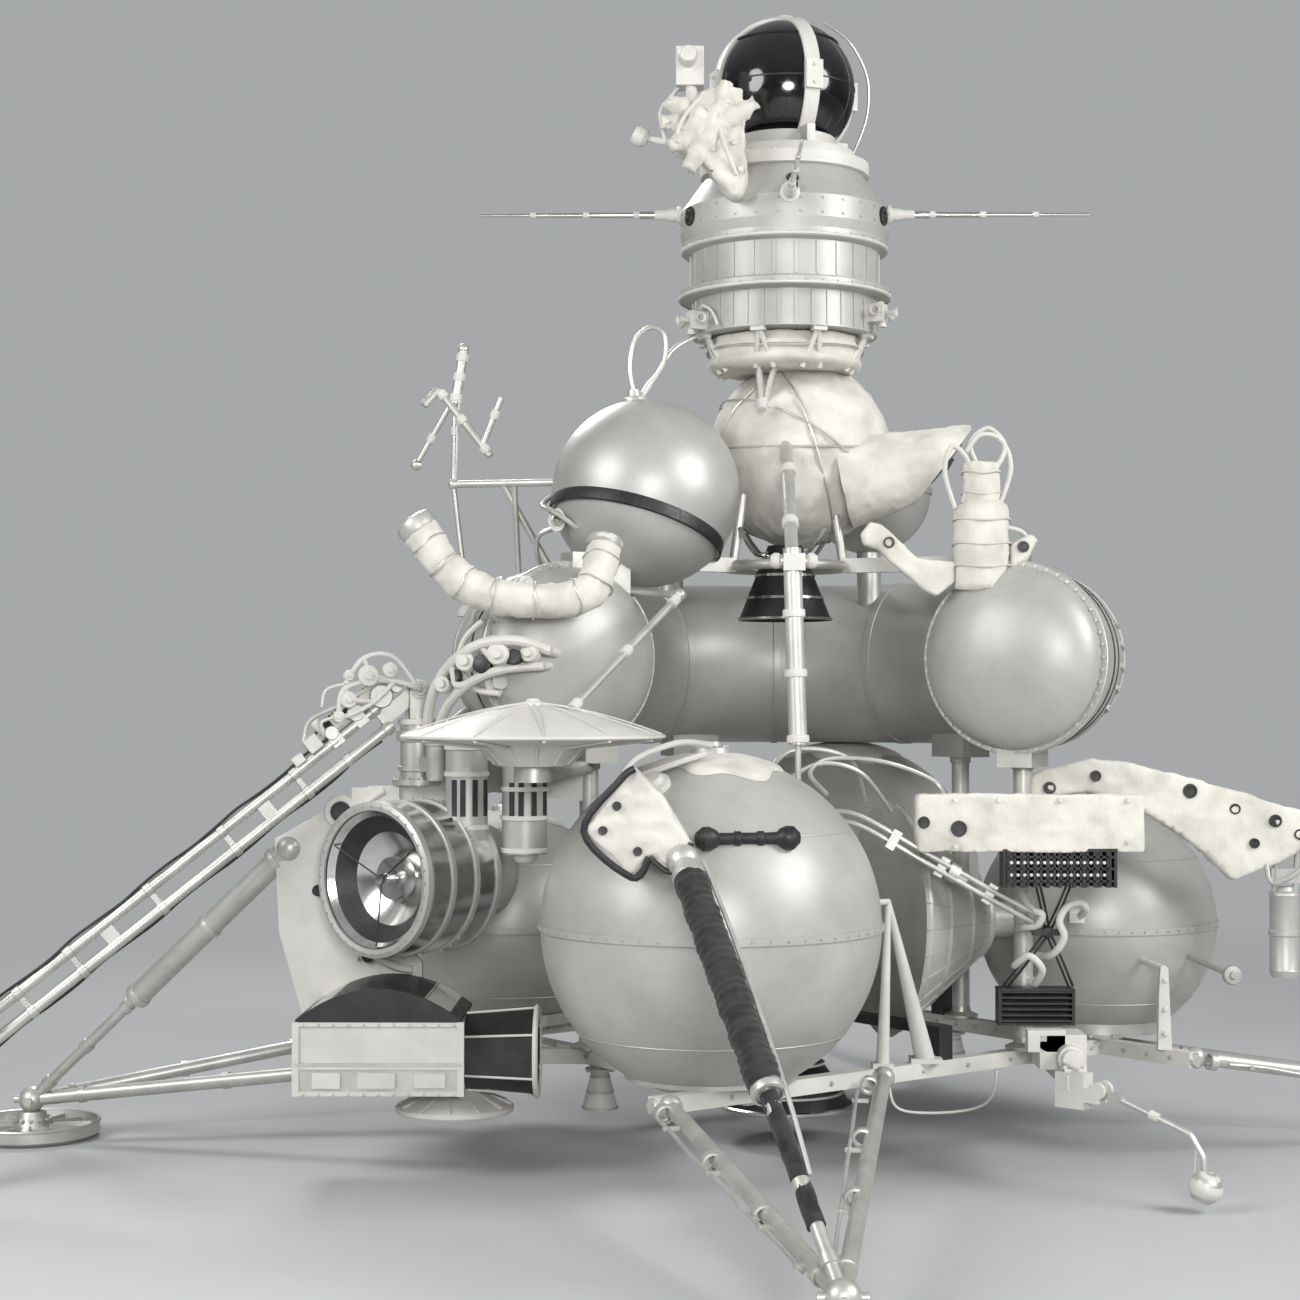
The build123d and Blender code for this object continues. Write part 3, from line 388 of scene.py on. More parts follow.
def crumple(bm, depth, size, seed):
    # folds in wrapped cloth: every vertex moves along its normal
    bm.normal_update()
    shift = Vector((3.7, 1.3, 5.1)) * seed
    moves = []
    for vert in bm.verts:
        spot = vert.co / size + shift
        fold = 1 - 2 * abs(noise.noise(spot))
        slack = noise.noise(spot * 0.45)
        push = 0.55 * fold + 0.8 * slack + 0.25 * noise.noise(spot * 2.7) - 0.35
        moves.append(vert.normal * depth * push)
    for vert, move in zip(bm.verts, moves):
        vert.co += move


def tieCord(bm, centre, axis, radius, thickness=0.004):
    # cord tied round a wrapped form, a little slack
    place = turned(centre, axis)
    points = [place @ onRing(radius * (1 + 0.006 * math.sin(5 * angle)), angle, 0.004 * math.sin(3 * angle))
              for angle in around(48)]
    addTube(bm, points, thickness, 6, closed=True)


def makePadded(name, bm, replaced=(), smooth=180):
    # closed form of cloth
    makePiece(name, bm, cloth, replaced=replaced, smooth=smooth)


def growFine(bm, limit):
    # splits long edges, so that cloth can fold between them
    bmesh.ops.triangulate(bm, faces=bm.faces)
    for _ in range(8):
        coarse = [e for e in bm.edges if e.calc_length() > limit]
        if not coarse:
            break
        bmesh.ops.subdivide_edges(bm, edges=coarse, cuts=1)
        bmesh.ops.triangulate(bm, faces=[f for f in bm.faces if len(f.verts) > 3])
    bmesh.ops.beautify_fill(bm, faces=bm.faces, edges=bm.edges)


def bindForm(name, bm, fine, depth, size, seed, replaced=()):
    # hard form bound in cloth: softened edges and small folds
    growFine(bm, fine)
    for _ in range(2):
        bmesh.ops.smooth_vert(bm, verts=bm.verts, factor=0.5,
                              use_axis_x=True, use_axis_y=True, use_axis_z=True)
    crumple(bm, depth, size, seed)
    makePadded(name, bm, replaced)


def bindPlate(name, outline, y, thickness, fine, depth, seed, replaced=()):
    # bound plate that faces the viewer; its outline is in millimetres
    bm = bmesh.new()
    addPlate(bm, [(x * 0.001, z * 0.001) for x, z in outline], facing(y), thickness)
    bindForm(name, bm, fine, depth, 0.06, seed, replaced)


block = {"centre": Vector((0.060, 0.125, 2.420)), "radius": 0.330}
bm = bmesh.new()
sphere = [(block["radius"] * math.sin(math.radians(a)), -block["radius"] * math.cos(math.radians(a)))
          for a in range(0, 181, 3)]
addLathe(bm, sphere, block["centre"], up, 110)
crumple(bm, 0.013, 0.075, 1)
makePadded("block_blanket", bm, ["ascent_block"])

neck = {"low": 2.70, "height": 0.118, "radius": 0.268, "core": 0.10}
bm = bmesh.new()
profile = [(0.0, 0.0), (neck["core"], 0.0), (neck["radius"] - 0.02, 0.0), (neck["radius"], 0.012)]
profile += [(neck["radius"] + 0.006 * math.sin(i * 1.3), 0.012 + 0.010 * i) for i in range(1, 10)]
profile += [(neck["radius"] - 0.004, 0.112), (neck["core"], neck["height"]), (0.0, neck["height"])]
addLathe(bm, profile, (0, 0, neck["low"]), up, 90)
crumple(bm, 0.006, 0.05, 2)
makePadded("neck_blanket", bm)

bm = bmesh.new()
for axis, radius in (((0, 0, 1), 0.333), ((0.5, 0.2, 0.8), 0.334),
                     ((0.9, 0.1, 0.3), 0.333), ((-0.4, 0.8, 0.4), 0.333)):
    tieCord(bm, block["centre"], axis, radius)
tieCord(bm, (0, 0, neck["low"] + 0.065), up, neck["radius"] + 0.007, 0.005)
makePiece("block_ties", bm, frameAlloy)

# the side horn is a cone cut by a slanting face, with a dark throat in its mouth
horn = {"root": Vector((0.200, -0.040, 2.300)), "tip": Vector((0.668, -0.083, 2.407)), "wide": 0.165,
        "narrow": 0.098, "mouth": Vector((0.560, -0.075, 2.372)), "face": Vector((0.8, 0.0, -0.6))}
bm = bmesh.new()
hornWay = horn["tip"] - horn["root"]
profile = [(0.0, 0.0)]
profile += [(horn["wide"] + (horn["narrow"] - horn["wide"]) * i / 40, hornWay.length * i / 40)
            for i in range(41)]
addLathe(bm, profile + [(0.0, hornWay.length)], horn["root"], hornWay, 72)
crumple(bm, 0.010, 0.055, 3)
everything = list(bm.verts) + list(bm.edges) + list(bm.faces)
bmesh.ops.bisect_plane(bm, geom=everything, plane_co=horn["mouth"], plane_no=horn["face"], clear_outer=True)
bmesh.ops.holes_fill(bm, edges=[e for e in bm.edges if e.is_boundary])
makePadded("horn_blanket", bm, ["side_horn"], smooth=60)

bm = bmesh.new()
addLathe(bm, [(0.0, -0.02), (0.062, -0.02), (0.080, 0.006), (0.088, 0.006), (0.090, -0.006)], horn["mouth"],
         horn["face"], 36)
for k in range(7):
    addBlock(bm, horn["mouth"] + Vector((0.006 * k - 0.02, 0.022 * k - 0.066, 0.008 * k - 0.02)),
             (0.010, 0.012, 0.05), horn["face"])
makePiece("horn_throat", bm, black)

duct = {"radius": 0.058, "path": smoothPath([
    (-0.620, -0.600, 2.060), (-0.640, -0.660, 1.950), (-0.675, -0.695, 1.885), (-0.800, -0.735, 1.860),
    (-0.950, -0.755, 1.870), (-1.060, -0.760, 1.910), (-1.130, -0.760, 1.975), (-1.185, -0.755, 2.050),
    (-1.230, -0.750, 2.110)], 10)}
bm = bmesh.new()
addTube(bm, duct["path"], lambda share: duct["radius"] + 0.002 * math.sin(share * 90), 32)
crumple(bm, 0.007, 0.038, 4)
makePadded("duct_blanket", bm, ["vent_duct"])

bm = bmesh.new()
line = duct["path"]
for index in range(6, len(line) - 4, 9):
    tieCord(bm, line[index], line[index + 1] - line[index - 1], duct["radius"] + 0.0025, 0.0032)
addLathe(bm, [(0.0, 0.014), (0.050, 0.014), (0.062, 0.006), (0.066, -0.012), (0.064, -0.034),
              (0.058, -0.036)], line[-1], line[-1] - line[-2], 36)
addLathe(bm, [(0.0, 0.010), (0.046, 0.010), (0.060, 0.0), (0.062, -0.03), (0.056, -0.03)], line[0],
         line[0] - line[1], 36)
for spot in (Vector((-0.665, -0.58, 1.965)), Vector((-0.96, -0.60, 1.93))):
    addTube(bm, [spot, spot + Vector((0.0, -0.11, -0.03))], 0.016, 10)
makePiece("duct_bands", bm, frameAlloy)

bottle = {"foot": Vector((0.635, -0.435, 1.90)), "radius": 0.094, "neck": 0.060}
bm = bmesh.new()
profile = [(0.0, 0.0)] + [(bottle["radius"], 0.012 + 0.02 * i) for i in range(14)]
profile += [(0.086, 0.290), (0.070, 0.300)] + [(bottle["neck"], 0.305 + 0.018 * i) for i in range(8)]
profile += [(0.045, 0.437), (0.0, 0.440)]
addLathe(bm, profile, bottle["foot"], up, 48)
crumple(bm, 0.007, 0.045, 5)
makePadded("bottle_blanket", bm, ["gas_bottle"])

bm = bmesh.new()
for rise, radius in ((0.085, 0.097), (0.16, 0.097), (0.24, 0.097), (0.33, 0.064), (0.40, 0.064)):
    tieCord(bm, bottle["foot"] + up * rise, up, radius, 0.0035)
for path in (
    [(0.545, -0.46, 2.18), (0.51, -0.47, 2.30), (0.535, -0.47, 2.385), (0.59, -0.46, 2.33),
     (0.575, -0.45, 2.20)],
    [(0.70, -0.44, 2.20), (0.735, -0.44, 2.32), (0.70, -0.45, 2.41), (0.63, -0.46, 2.425),
     (0.585, -0.45, 2.37)],
    [(0.62, -0.44, 2.33), (0.60, -0.44, 2.40), (0.66, -0.44, 2.45), (0.715, -0.45, 2.385),
     (0.675, -0.44, 2.30)],
    [(0.72, -0.42, 2.12), (0.78, -0.41, 2.10), (0.80, -0.41, 2.04), (0.755, -0.42, 1.98)],
):
    addPipe(bm, path, 0.0085)
makePiece("bottle_pipes", bm, enamel)
print("stage wrapped blankets")


# Spherical tanks: blanket caps, bosses, bolted equators and seams

tankTable = [
    # name, centre, radius and the seed of the cap's outline
    ("front", (-0.28, -0.96, 0.84), 0.53, 11), ("rear", (0.28, 0.96, 0.84), 0.53, 12),
    ("right", (1.12, 0.13, 0.75), 0.42, 13), ("left", (-1.00, 0.33, 0.73), 0.40, 14),
]
cap = {"reach": 0.46, "steps": 96, "rows": 14, "thickness": 0.009}
for name, centre, radius, seed in tankTable:
    centre = Vector(centre)
    bm = bmesh.new()
    rings = []
    for row in range(cap["rows"] + 1):
        ring = []
        for turn in around(cap["steps"]):
            reach = cap["reach"] + 0.05 * math.sin(3 * turn + seed) + 0.035 * math.sin(8 * turn + 2 * seed)
            tilt = max(0.03, reach * row / cap["rows"])
            spot = onRing(math.sin(tilt), turn, math.cos(tilt))
            ripple = 0.004 * noise.noise(spot * 9 + Vector((seed, 0, 0)))
            lift = cap["thickness"] + ripple if row < cap["rows"] else 0.001
            ring.append(bm.verts.new(centre + spot * (radius + lift)))
        rings.append(ring)
    for low, high in zip(rings, rings[1:]):
        bridge(bm, low, high)
    bm.faces.new(rings[0][::-1])
    sheet = makePiece(f"tank_{name}_cap", bm, cloth, smooth=180)
    wide = radius * cap["reach"]

    # boss on the crown, bolted equator and two weld seams
    bm = bmesh.new()
    addLathe(bm, [(0.0, 0.036), (0.030, 0.034), (0.034, 0.022), (0.060, 0.016), (0.066, -0.004),
                  (0.07, -0.02)], centre + up * (radius + 0.006), up, 36)
    addBoltRing(bm, centre + up * (radius + 0.022), up, 0.050, 10, 0.005)
    addStuds(bm, centre, up, radius + 0.0055, 60, 0.0036)
    for latitude in (math.radians(-38), math.radians(34)):
        wide, rise = (radius + 0.0006) * math.cos(latitude), (radius + 0.0006) * math.sin(latitude)
        addTube(bm, [centre + onRing(wide, a, rise) for a in around(90)], 0.0022, 6, closed=True)
    makePiece(f"tank_{name}_fittings", bm, aluminium)

ascentTank = {"centre": Vector((-0.490, -0.195, 2.254)), "tilt": Vector((0.26, 0.23, 0.94)).normalized()}
# band on the ascent tank's weld seam in black enamel: the seam is real, its black is painted shadow below
# it
bm = bmesh.new()
addLathe(bm, [(0.3015, -0.026), (0.3075, -0.022), (0.3085, 0.010), (0.3065, 0.018), (0.301, 0.020)],
         ascentTank["centre"] - ascentTank["tilt"] * 0.127, ascentTank["tilt"], 96)
makePiece("ascent_tank_seam_shadow", bm, black)
bm = bmesh.new()
topAxis = Vector((-0.12, -0.05, 1.0)).normalized()
addLathe(bm, [(0.0, 0.040), (0.020, 0.038), (0.024, 0.016), (0.044, 0.010), (0.050, -0.008)],
         ascentTank["centre"] + topAxis * 0.322, topAxis, 32)
for loop in (
    [(-0.525, -0.21, 2.575), (-0.545, -0.21, 2.68), (-0.53, -0.20, 2.78), (-0.475, -0.20, 2.83),
     (-0.425, -0.20, 2.80), (-0.43, -0.20, 2.70), (-0.49, -0.20, 2.62), (-0.515, -0.205, 2.57)],
    [(-0.51, -0.20, 2.57), (-0.455, -0.20, 2.66), (-0.40, -0.18, 2.75), (-0.33, -0.15, 2.80),
     (-0.27, -0.12, 2.83)],
    [(-0.80, -0.27, 2.13), (-0.86, -0.25, 2.10), (-0.86, -0.20, 2.02), (-0.82, -0.10, 1.97)],
    [(-0.72, -0.38, 2.12), (-0.79, -0.40, 2.17), (-0.84, -0.33, 2.20), (-0.82, -0.22, 2.24)],
):
    addPipe(bm, loop, 0.0085)
addPlate(bm, [(0.030 * math.cos(a), 0.040 * math.sin(a)) for a in around(24)],
         turned((-0.788, -0.330, 2.150), (-0.1, -1.0, 0.0)), 0.022)
addLathe(bm, [(0.010, 0.0), (0.018, 0.002), (0.020, 0.03), (0.014, 0.034), (0.010, 0.02)],
         (-0.788, -0.350, 2.150), toViewer, 20)
makePiece("ascent_tank_pipes", bm, frameAlloy)
print("stage tanks")


# Instrument compartment: hoops, bolted end flanges, hatches

ringRadius, tubeRadius, ringHeight, endAngle = 0.870, 0.305, 1.680, 30


def addHoop(bm, angle, rise, half, soft=0.002):
    # band round the tube, at an angle of the horseshoe
    addLathe(bm, collar(tubeRadius - 0.002, tubeRadius + rise, half, soft),
             polar(ringRadius, angle, ringHeight), polar(1, angle + 90), 72)


def onTube(angle, tilt, rise):
    # spot near the tube's skin and its outward axis, tilted up from the level
    axis = (polar(1, angle) * math.cos(math.radians(tilt)) + up * math.sin(math.radians(tilt))).normalized()
    return polar(ringRadius, angle, ringHeight) + axis * (tubeRadius + rise), axis


bm = bmesh.new()
for angle in (-12, 18, 55, 90, 125, 162, 192):
    addHoop(bm, angle, 0.004, 0.014)
makePiece("compartment_hoops", bm, aluminium)

bm = bmesh.new()
for angle, turn in ((-endAngle, -90), (180 + endAngle, 90)):
    centre = polar(ringRadius, angle, ringHeight)
    outward = polar(1, angle + turn)
    addBoltRing(bm, centre + outward * 0.034, outward, 0.313, 48, 0.0052)
    addLathe(bm, collar(0.3215, 0.325, 0.009), centre + outward * 0.016, outward, 96)
makePiece("flange_bolts", bm, frameAlloy)

bm = bmesh.new()
random.seed(21)
for angle, tilt in ((8, 35), (40, 20), (72, 48), (108, 15), (140, 40), (172, 28), (60, -20), (120, -25)):
    foot, axis = onTube(angle, tilt, -0.004)
    wide = random.uniform(0.045, 0.075)
    addLathe(bm, [(0.0, 0.018), (wide * 0.7, 0.016), (wide * 0.8, 0.009), (wide, 0.008), (wide, -0.03)],
             foot, axis, 36)
    addBoltRing(bm, foot + axis * 0.008, axis, wide * 0.9, 8, 0.0035)
makePiece("compartment_hatches", bm, enamel)

bm = bmesh.new()
for angle, wide in ((-24.5, 0.006), (-21.5, 0.004), (204.5, 0.006)):
    addHoop(bm, angle, 0.003, wide, wide * 0.2)
makePiece("compartment_seams", bm, black)

# lugs where the right end turns away from the viewer, seen edge-on against the backdrop
bm = bmesh.new()
lugAngle = -17
for tilt in (-34, -20, -6, 8, 22):
    foot, axis = onTube(lugAngle, tilt, -0.002)
    addBlock(bm, foot + axis * 0.002, (0.062, 0.016, 0.012), axis, math.radians(lugAngle))
    addBolt(bm, foot + axis * 0.007, axis, 0.005)
makePiece("compartment_lugs", bm, aluminium, bevel=0.002)
print("stage compartment")


# Instrument bay, capsule and the sample loader beside it

bm = bmesh.new()
for count, radius, low, high, wide in ((36, 0.326, 2.828, 2.942, 0.008), (28, 0.334, 2.996, 3.108, 0.010)):
    for angle in around(count, math.radians(4)):
        addBlock(bm, onRing(radius + 0.001, angle, (low + high) / 2), (0.006, wide, high - low), up, angle)
for radius, height, count in ((0.371, 2.9675, 40), (0.361, 3.135, 40), (0.3695, 3.200, 30),
                              (0.3695, 3.248, 30)):
    addStuds(bm, (0, 0, height), up, radius, count, 0.0042)
makePiece("bay_ribs", bm, paleShell)

bm = bmesh.new()
for profile in (
    collar(0.371, 0.378, 0.007, 0.004, at=2.959),
    collar(0.362, 0.368, 0.007, 0.004, at=3.127),
    [(0.276, 3.384), (0.298, 3.388), (0.300, 3.404), (0.296, 3.412), (0.276, 3.414)],
):
    addLathe(bm, profile, (0, 0, 0), up, 120)
makePiece("bay_beads", bm, enamel)

bm = bmesh.new()
for angle in (-25, 205, 60, 130):
    radial = polar(1, angle)
    addLathe(bm, [(0.0, 0.001), (0.022, 0.002), (0.024, 0.007), (0.033, 0.007), (0.035, -0.012)],
             radial * 0.3695 + up * 3.225, radial, 28)
for angle in (-88, 150, 40):
    radial = (polar(1, angle) * 0.8 + up * 0.6).normalized()
    spot = polar(0.328, angle, 3.322)
    addLathe(bm, [(0.0, 0.010), (0.014, 0.010), (0.020, 0.004), (0.024, -0.01)], spot, radial, 24)
    addBlock(bm, spot + Vector((0, 0, -0.045)) + polar(0.030, angle), (0.026, 0.034, 0.05), radial)
makePiece("bay_ports", bm, black)

bm = bmesh.new()
for angle, height in ((-26, 2.885), (206, 2.86), (62, 2.88), (118, 2.86)):
    radial = polar(1, angle)
    side = polar(1, angle + 90)
    foot = radial * 0.350 + up * height
    addBlock(bm, foot, (0.058, 0.05, 0.062), up, math.radians(angle))
    for shift, axis in ((0.03, side), (-0.03, side * -1), (0.0, up * -1), (0.0, radial)):
        addLathe(bm, [(0.006, 0.0), (0.008, 0.012), (0.016, 0.036), (0.017, 0.038), (0.014, 0.036),
                      (0.005, 0.012)], foot + side * shift + radial * 0.02 + axis * 0.012, axis, 20)
    addPipe(bm, [foot + radial * -0.01 + up * 0.03, foot + side * 0.05 + up * 0.045,
                 foot + side * 0.09 + radial * -0.015 + up * 0.02,
                 foot + side * 0.12 + radial * -0.02 + up * -0.03], 0.005, 8, 6)
makePiece("bay_thrusters", bm, enamel)

bm = bmesh.new()
for angle in (0, 90, 180, 270):
    radial = polar(1, angle)
    addLathe(bm, [(0.034, -0.004), (0.034, 0.006), (0.024, 0.012), (0.022, 0.040), (0.018, 0.048),
                  (0.017, 0.085), (0.014, 0.092), (0.010, 0.094)], radial * 0.369 + up * 3.262, radial, 28)
    for share in (0.26, 0.5, 0.75):
        addLathe(bm, collar(0.004, 0.0145 - 0.005 * share, 0.012),
                 radial * (0.33 + 0.75 * share) + up * 3.262, radial, 20)
makePiece("rod_antenna_insulators", bm, enamel)

capsule = {"centre": Vector((0, 0, 3.700)), "radius": 0.2475, "hoopTurns": (-160, -70)}
bm = bmesh.new()
for angle in capsule["hoopTurns"]:
    addLathe(bm, [(capsule["radius"], -0.026), (0.258, -0.028), (0.261, -0.024), (0.259, -0.012),
                  (0.2585, 0.0), (0.259, 0.012), (0.261, 0.024), (0.258, 0.028),
                  (capsule["radius"], 0.026)], capsule["centre"], polar(1, angle), 96)
makePiece("capsule_hoops", bm, enamel, replaced=["capsule_straps"])

# clasps on the hoops, feet on the seat, the crown's boss and the seat's bolted rim
bm = bmesh.new()
for angle in (-70, 20, 110, 200):
    radial = polar(1, angle)
    addBlock(bm, radial * 0.262 + capsule["centre"], (0.020, 0.062, 0.10), up, math.radians(angle))
    addBlock(bm, radial * 0.205 + up * 3.500, (0.03, 0.066, 0.07), radial)
    for rise in (-0.03, 0.03):
        addBolt(bm, radial * 0.272 + capsule["centre"] + up * rise, radial, 0.006)
addLathe(bm, [(0.0, 0.018), (0.032, 0.016), (0.040, 0.006), (0.052, 0.002), (0.058, -0.014)], (0, 0, 3.952),
         up, 36)
addBoltRing(bm, (0, 0, 3.430), up, 0.285, 18, 0.006)
addLathe(bm, [(0.236, 3.430), (0.262, 3.430), (0.262, 3.446), (0.250, 3.470), (0.236, 3.474)], (0, 0, 0),
         up, 72)
makePiece("capsule_fittings", bm, enamel)

bm = bmesh.new()
wire = [Vector(spot) for spot in ((0.135, -0.08, 3.925), (0.225, -0.07, 3.860), (0.288, -0.05, 3.745),
                                  (0.292, -0.04, 3.62), (0.262, -0.04, 3.52), (0.225, -0.04, 3.44))]
addPipe(bm, wire, 0.0045)
addPipe(bm, [Vector((spot.x * 0.3 - 0.06, spot.y + 0.299, spot.z)) for spot in wire], 0.0045)
makePiece("capsule_guard_wires", bm, frameAlloy)
bm = bmesh.new()
addLathe(bm, collar(0.2495, 0.2522, 0.0035, 0.001), capsule["centre"], up, 96)
addLathe(bm, [(0.190, 3.862), (0.1935, 3.866), (0.1905, 3.870), (0.187, 3.867)], (0, 0, 0), up, 72)
makePiece("capsule_seams", bm, black)

loaderOutline = [(-405, 3425), (-352, 3520), (-300, 3600), (-230, 3615), (-165, 3605), (-150, 3440),
                 (-140, 3290), (-160, 3250), (-190, 3235), (-250, 3310), (-300, 3370), (-360, 3400)]
bindPlate("loader_blanket", loaderOutline, -0.283, 0.126, 0.018, 0.014, 7, ["sample_loader"])

# gathered corners of the loader's cloth
bm = bmesh.new()
gathered = Vector((-0.255, -0.380, 3.480))
for tip in ((-0.415, -0.385, 3.570), (-0.438, -0.385, 3.495), (-0.408, -0.395, 3.412),
            (-0.345, -0.405, 3.330), (-0.215, -0.400, 3.630), (-0.115, -0.400, 3.565)):
    way = Vector(tip) - gathered
    addTube(bm, [gathered + way * i / 10 for i in range(11)],
            lambda share: 0.062 - 0.040 * share + 0.004 * math.sin(share * 20), 14)
growFine(bm, 0.02)
crumple(bm, 0.010, 0.035, 17)
makePadded("loader_folds", bm)
bm = bmesh.new()
addBlock(bm, (-0.338, -0.255, 3.715), (0.096, 0.090, 0.135))
addLathe(bm, [(0.0, 0.05), (0.028, 0.048), (0.034, 0.03), (0.034, -0.02)], (-0.345, -0.30, 3.74),
         (0, -1, 0.1), 28)
addTube(bm, [(-0.320, -0.310, 3.540), (-0.338, -0.262, 3.665)], 0.020, 12)
addTube(bm, [(-0.365, -0.330, 3.430), (-0.505, -0.308, 3.466)], 0.012, 12)
addLathe(bm, [(0.0, -0.030), (0.020, -0.028), (0.034, -0.012), (0.036, 0.010), (0.028, 0.026),
              (0.022, 0.020), (0.0, 0.014)], (-0.507, -0.308, 3.466), (-0.9, 0, 0.5), 28)
for path in (
    [(-0.30, -0.40, 3.58), (-0.35, -0.42, 3.52), (-0.38, -0.41, 3.45), (-0.33, -0.40, 3.40)],
    [(-0.20, -0.40, 3.57), (-0.24, -0.43, 3.50), (-0.22, -0.43, 3.40), (-0.18, -0.41, 3.31)],
    [(-0.42, -0.33, 3.44), (-0.44, -0.30, 3.55), (-0.40, -0.26, 3.62), (-0.37, -0.25, 3.66)],
):
    addPipe(bm, path, 0.0075)
for x, z in ((-0.21, 3.56), (-0.28, 3.50), (-0.19, 3.42), (-0.26, 3.40), (-0.17, 3.33), (-0.33, 3.47)):
    addBolt(bm, (x, -0.407, z), toViewer, 0.010)
makePiece("loader_fittings", bm, enamel, bevel=0.002)
print("stage bay and capsule")


# Brackets bound in cloth

rightOutline = [(800, 1290), (990, 1346), (1110, 1335), (1400, 1262), (1765, 1150), (1790, 1070),
                (1700, 1030), (1480, 930), (1385, 1025), (1300, 1110), (1150, 1180), (1000, 1230),
                (800, 1200)]
bindPlate("bracket_right_blanket", rightOutline, -0.353, 0.054, 0.028, 0.008, 8, ["bracket_right"])
earOutline = [(229, 2095), (262, 2135), (300, 2125), (350, 2080), (420, 2010), (541, 2000), (541, 1930),
              (480, 1885), (440, 1905), (380, 1960), (330, 2000), (290, 2040), (240, 2055)]
bindPlate("ear_bracket_left_blanket", earOutline, -0.428, 0.044, 0.016, 0.004, 9, ["ear_bracket"])
earTip = [(729, 1975), (729, 2060), (760, 2078), (800, 2095), (822, 2075), (790, 2020), (755, 1985)]
bindPlate("ear_bracket_right_blanket", earTip, -0.428, 0.044, 0.016, 0.004, 10)
bm = bmesh.new()
for x, z in ((0.323, 2.065), (0.770, 2.050)):
    addLathe(bm, [(0.0, 0.0), (0.012, 0.001), (0.013, 0.006), (0.019, 0.006), (0.020, -0.004)],
             (x, -0.473, z), toViewer, 24)
for x, z, size in ((1.335, 1.235, 0.016), (1.485, 1.175, 0.012), (1.62, 1.135, 0.014), (1.55, 1.06, 0.011),
                   (1.02, 1.285, 0.012), (0.865, 1.245, 0.014), (1.70, 1.09, 0.012)):
    addLathe(bm, [(0.0, 0.0), (size, 0.001), (size + 0.001, 0.005), (size * 1.5, 0.005),
                  (size * 1.6, -0.006)], (x, -0.409, z), toViewer, 24)
makePiece("bracket_eyelets", bm, black)
print("stage brackets")


# Left side: radar drum and its bracket, electronics box, horn, disc antenna, dish and cameras

drumMouth, drumAxis = Vector((-1.370, -0.650, 0.955)), polar(1, 52)
drumPlace = turned(drumMouth, drumAxis)
drum = {"bowl": 0.222, "depth": 0.134, "skin": 0.2505, "bands": (0.115, 0.225, 0.325)}
bm = bmesh.new()
bowl = [(drum["bowl"] * i / 24, drum["depth"] - 0.128 * (i / 24) ** 2) for i in range(25)]
addLathe(bm, bowl + [(drum["bowl"] + 0.004, 0.002)], drumMouth, drumAxis, 120)
addLathe(bm, [(0.000, 0.020), (0.016, 0.022), (0.022, 0.034), (0.020, 0.052), (0.010, 0.060),
              (0.009, 0.130)], drumMouth, drumAxis, 32)
makePiece("drum_reflector", bm, polished)
bm = bmesh.new()
for a in around(3, 0.5):
    addTube(bm, [drumPlace @ onRing(0.218, a, 0.006), drumPlace @ onRing(0.018, a, 0.034)], 0.0028, 8)
makePiece("drum_spokes", bm, black)
bm = bmesh.new()
addLathe(bm, [(0.224, 0.006), (0.226, -0.008), (0.240, -0.012), (0.254, -0.006), (0.257, 0.012),
              (0.251, 0.024)], drumMouth, drumAxis, 120)
for shift in drum["bands"]:
    addLathe(bm, collar(drum["skin"] - 0.002, drum["skin"] + 0.006, 0.010, at=shift), drumMouth, drumAxis,
             110)
addStuds(bm, drumMouth + drumAxis * drum["bands"][1], drumAxis, drum["skin"] + 0.006, 36, 0.0042)
addBoltRing(bm, drumMouth - drumAxis * 0.011, drumAxis * -1, 0.240, 36, 0.0038)
addLathe(bm, [(0.20, 0.335), (0.168, 0.345), (0.160, 0.36), (0.160, 0.43), (0.166, 0.434), (0.166, 0.452),
              (0.160, 0.456), (0.160, 0.52), (0.140, 0.55), (0.0, 0.56)], drumMouth, drumAxis, 90)
makePiece("drum_rings", bm, aluminium)
bm = bmesh.new()
addLathe(bm, [(0.223, -0.002), (0.2245, 0.010), (0.200, 0.034), (0.150, 0.078), (0.145, 0.080),
              (0.150, 0.076), (0.205, 0.024)], drumMouth, drumAxis, 110)
makePiece("drum_shroud", bm, black)


def onArch(angle, wide, high, y):
    # spot on the left bracket's arch round the drum
    return Vector((-1.245 + wide * math.cos(math.radians(angle)), y,
                   0.950 + high * math.sin(math.radians(angle))))


# rolled flange of the arch, a row of bolts and the port's seat
bm = bmesh.new()
addTube(bm, [onArch(a, 0.285, 0.315, -0.418) for a in range(115, 266, 5)], 0.014, 10)
for a in range(140, 266, 15):
    addBolt(bm, onArch(a, 0.330, 0.360, -0.410), toViewer, 0.006)
addLathe(bm, [(0.0, 0.010), (0.052, 0.010), (0.058, 0.004), (0.058, -0.012)], (-1.512, -0.409, 1.165),
         toViewer, 36)
addBlock(bm, (-1.395, -0.413, 1.215), (0.160, 0.016, 0.062))
makePiece("bracket_left_arch", bm, enamel)
bm = bmesh.new()
for spot, size in (((-1.512, -0.422, 1.165), 0.026), ((-1.420, -0.411, 0.680), 0.016),
                   ((-1.590, -0.411, 0.900), 0.014)):
    addPort(bm, spot, size)
makePiece("bracket_left_ports", bm, black)
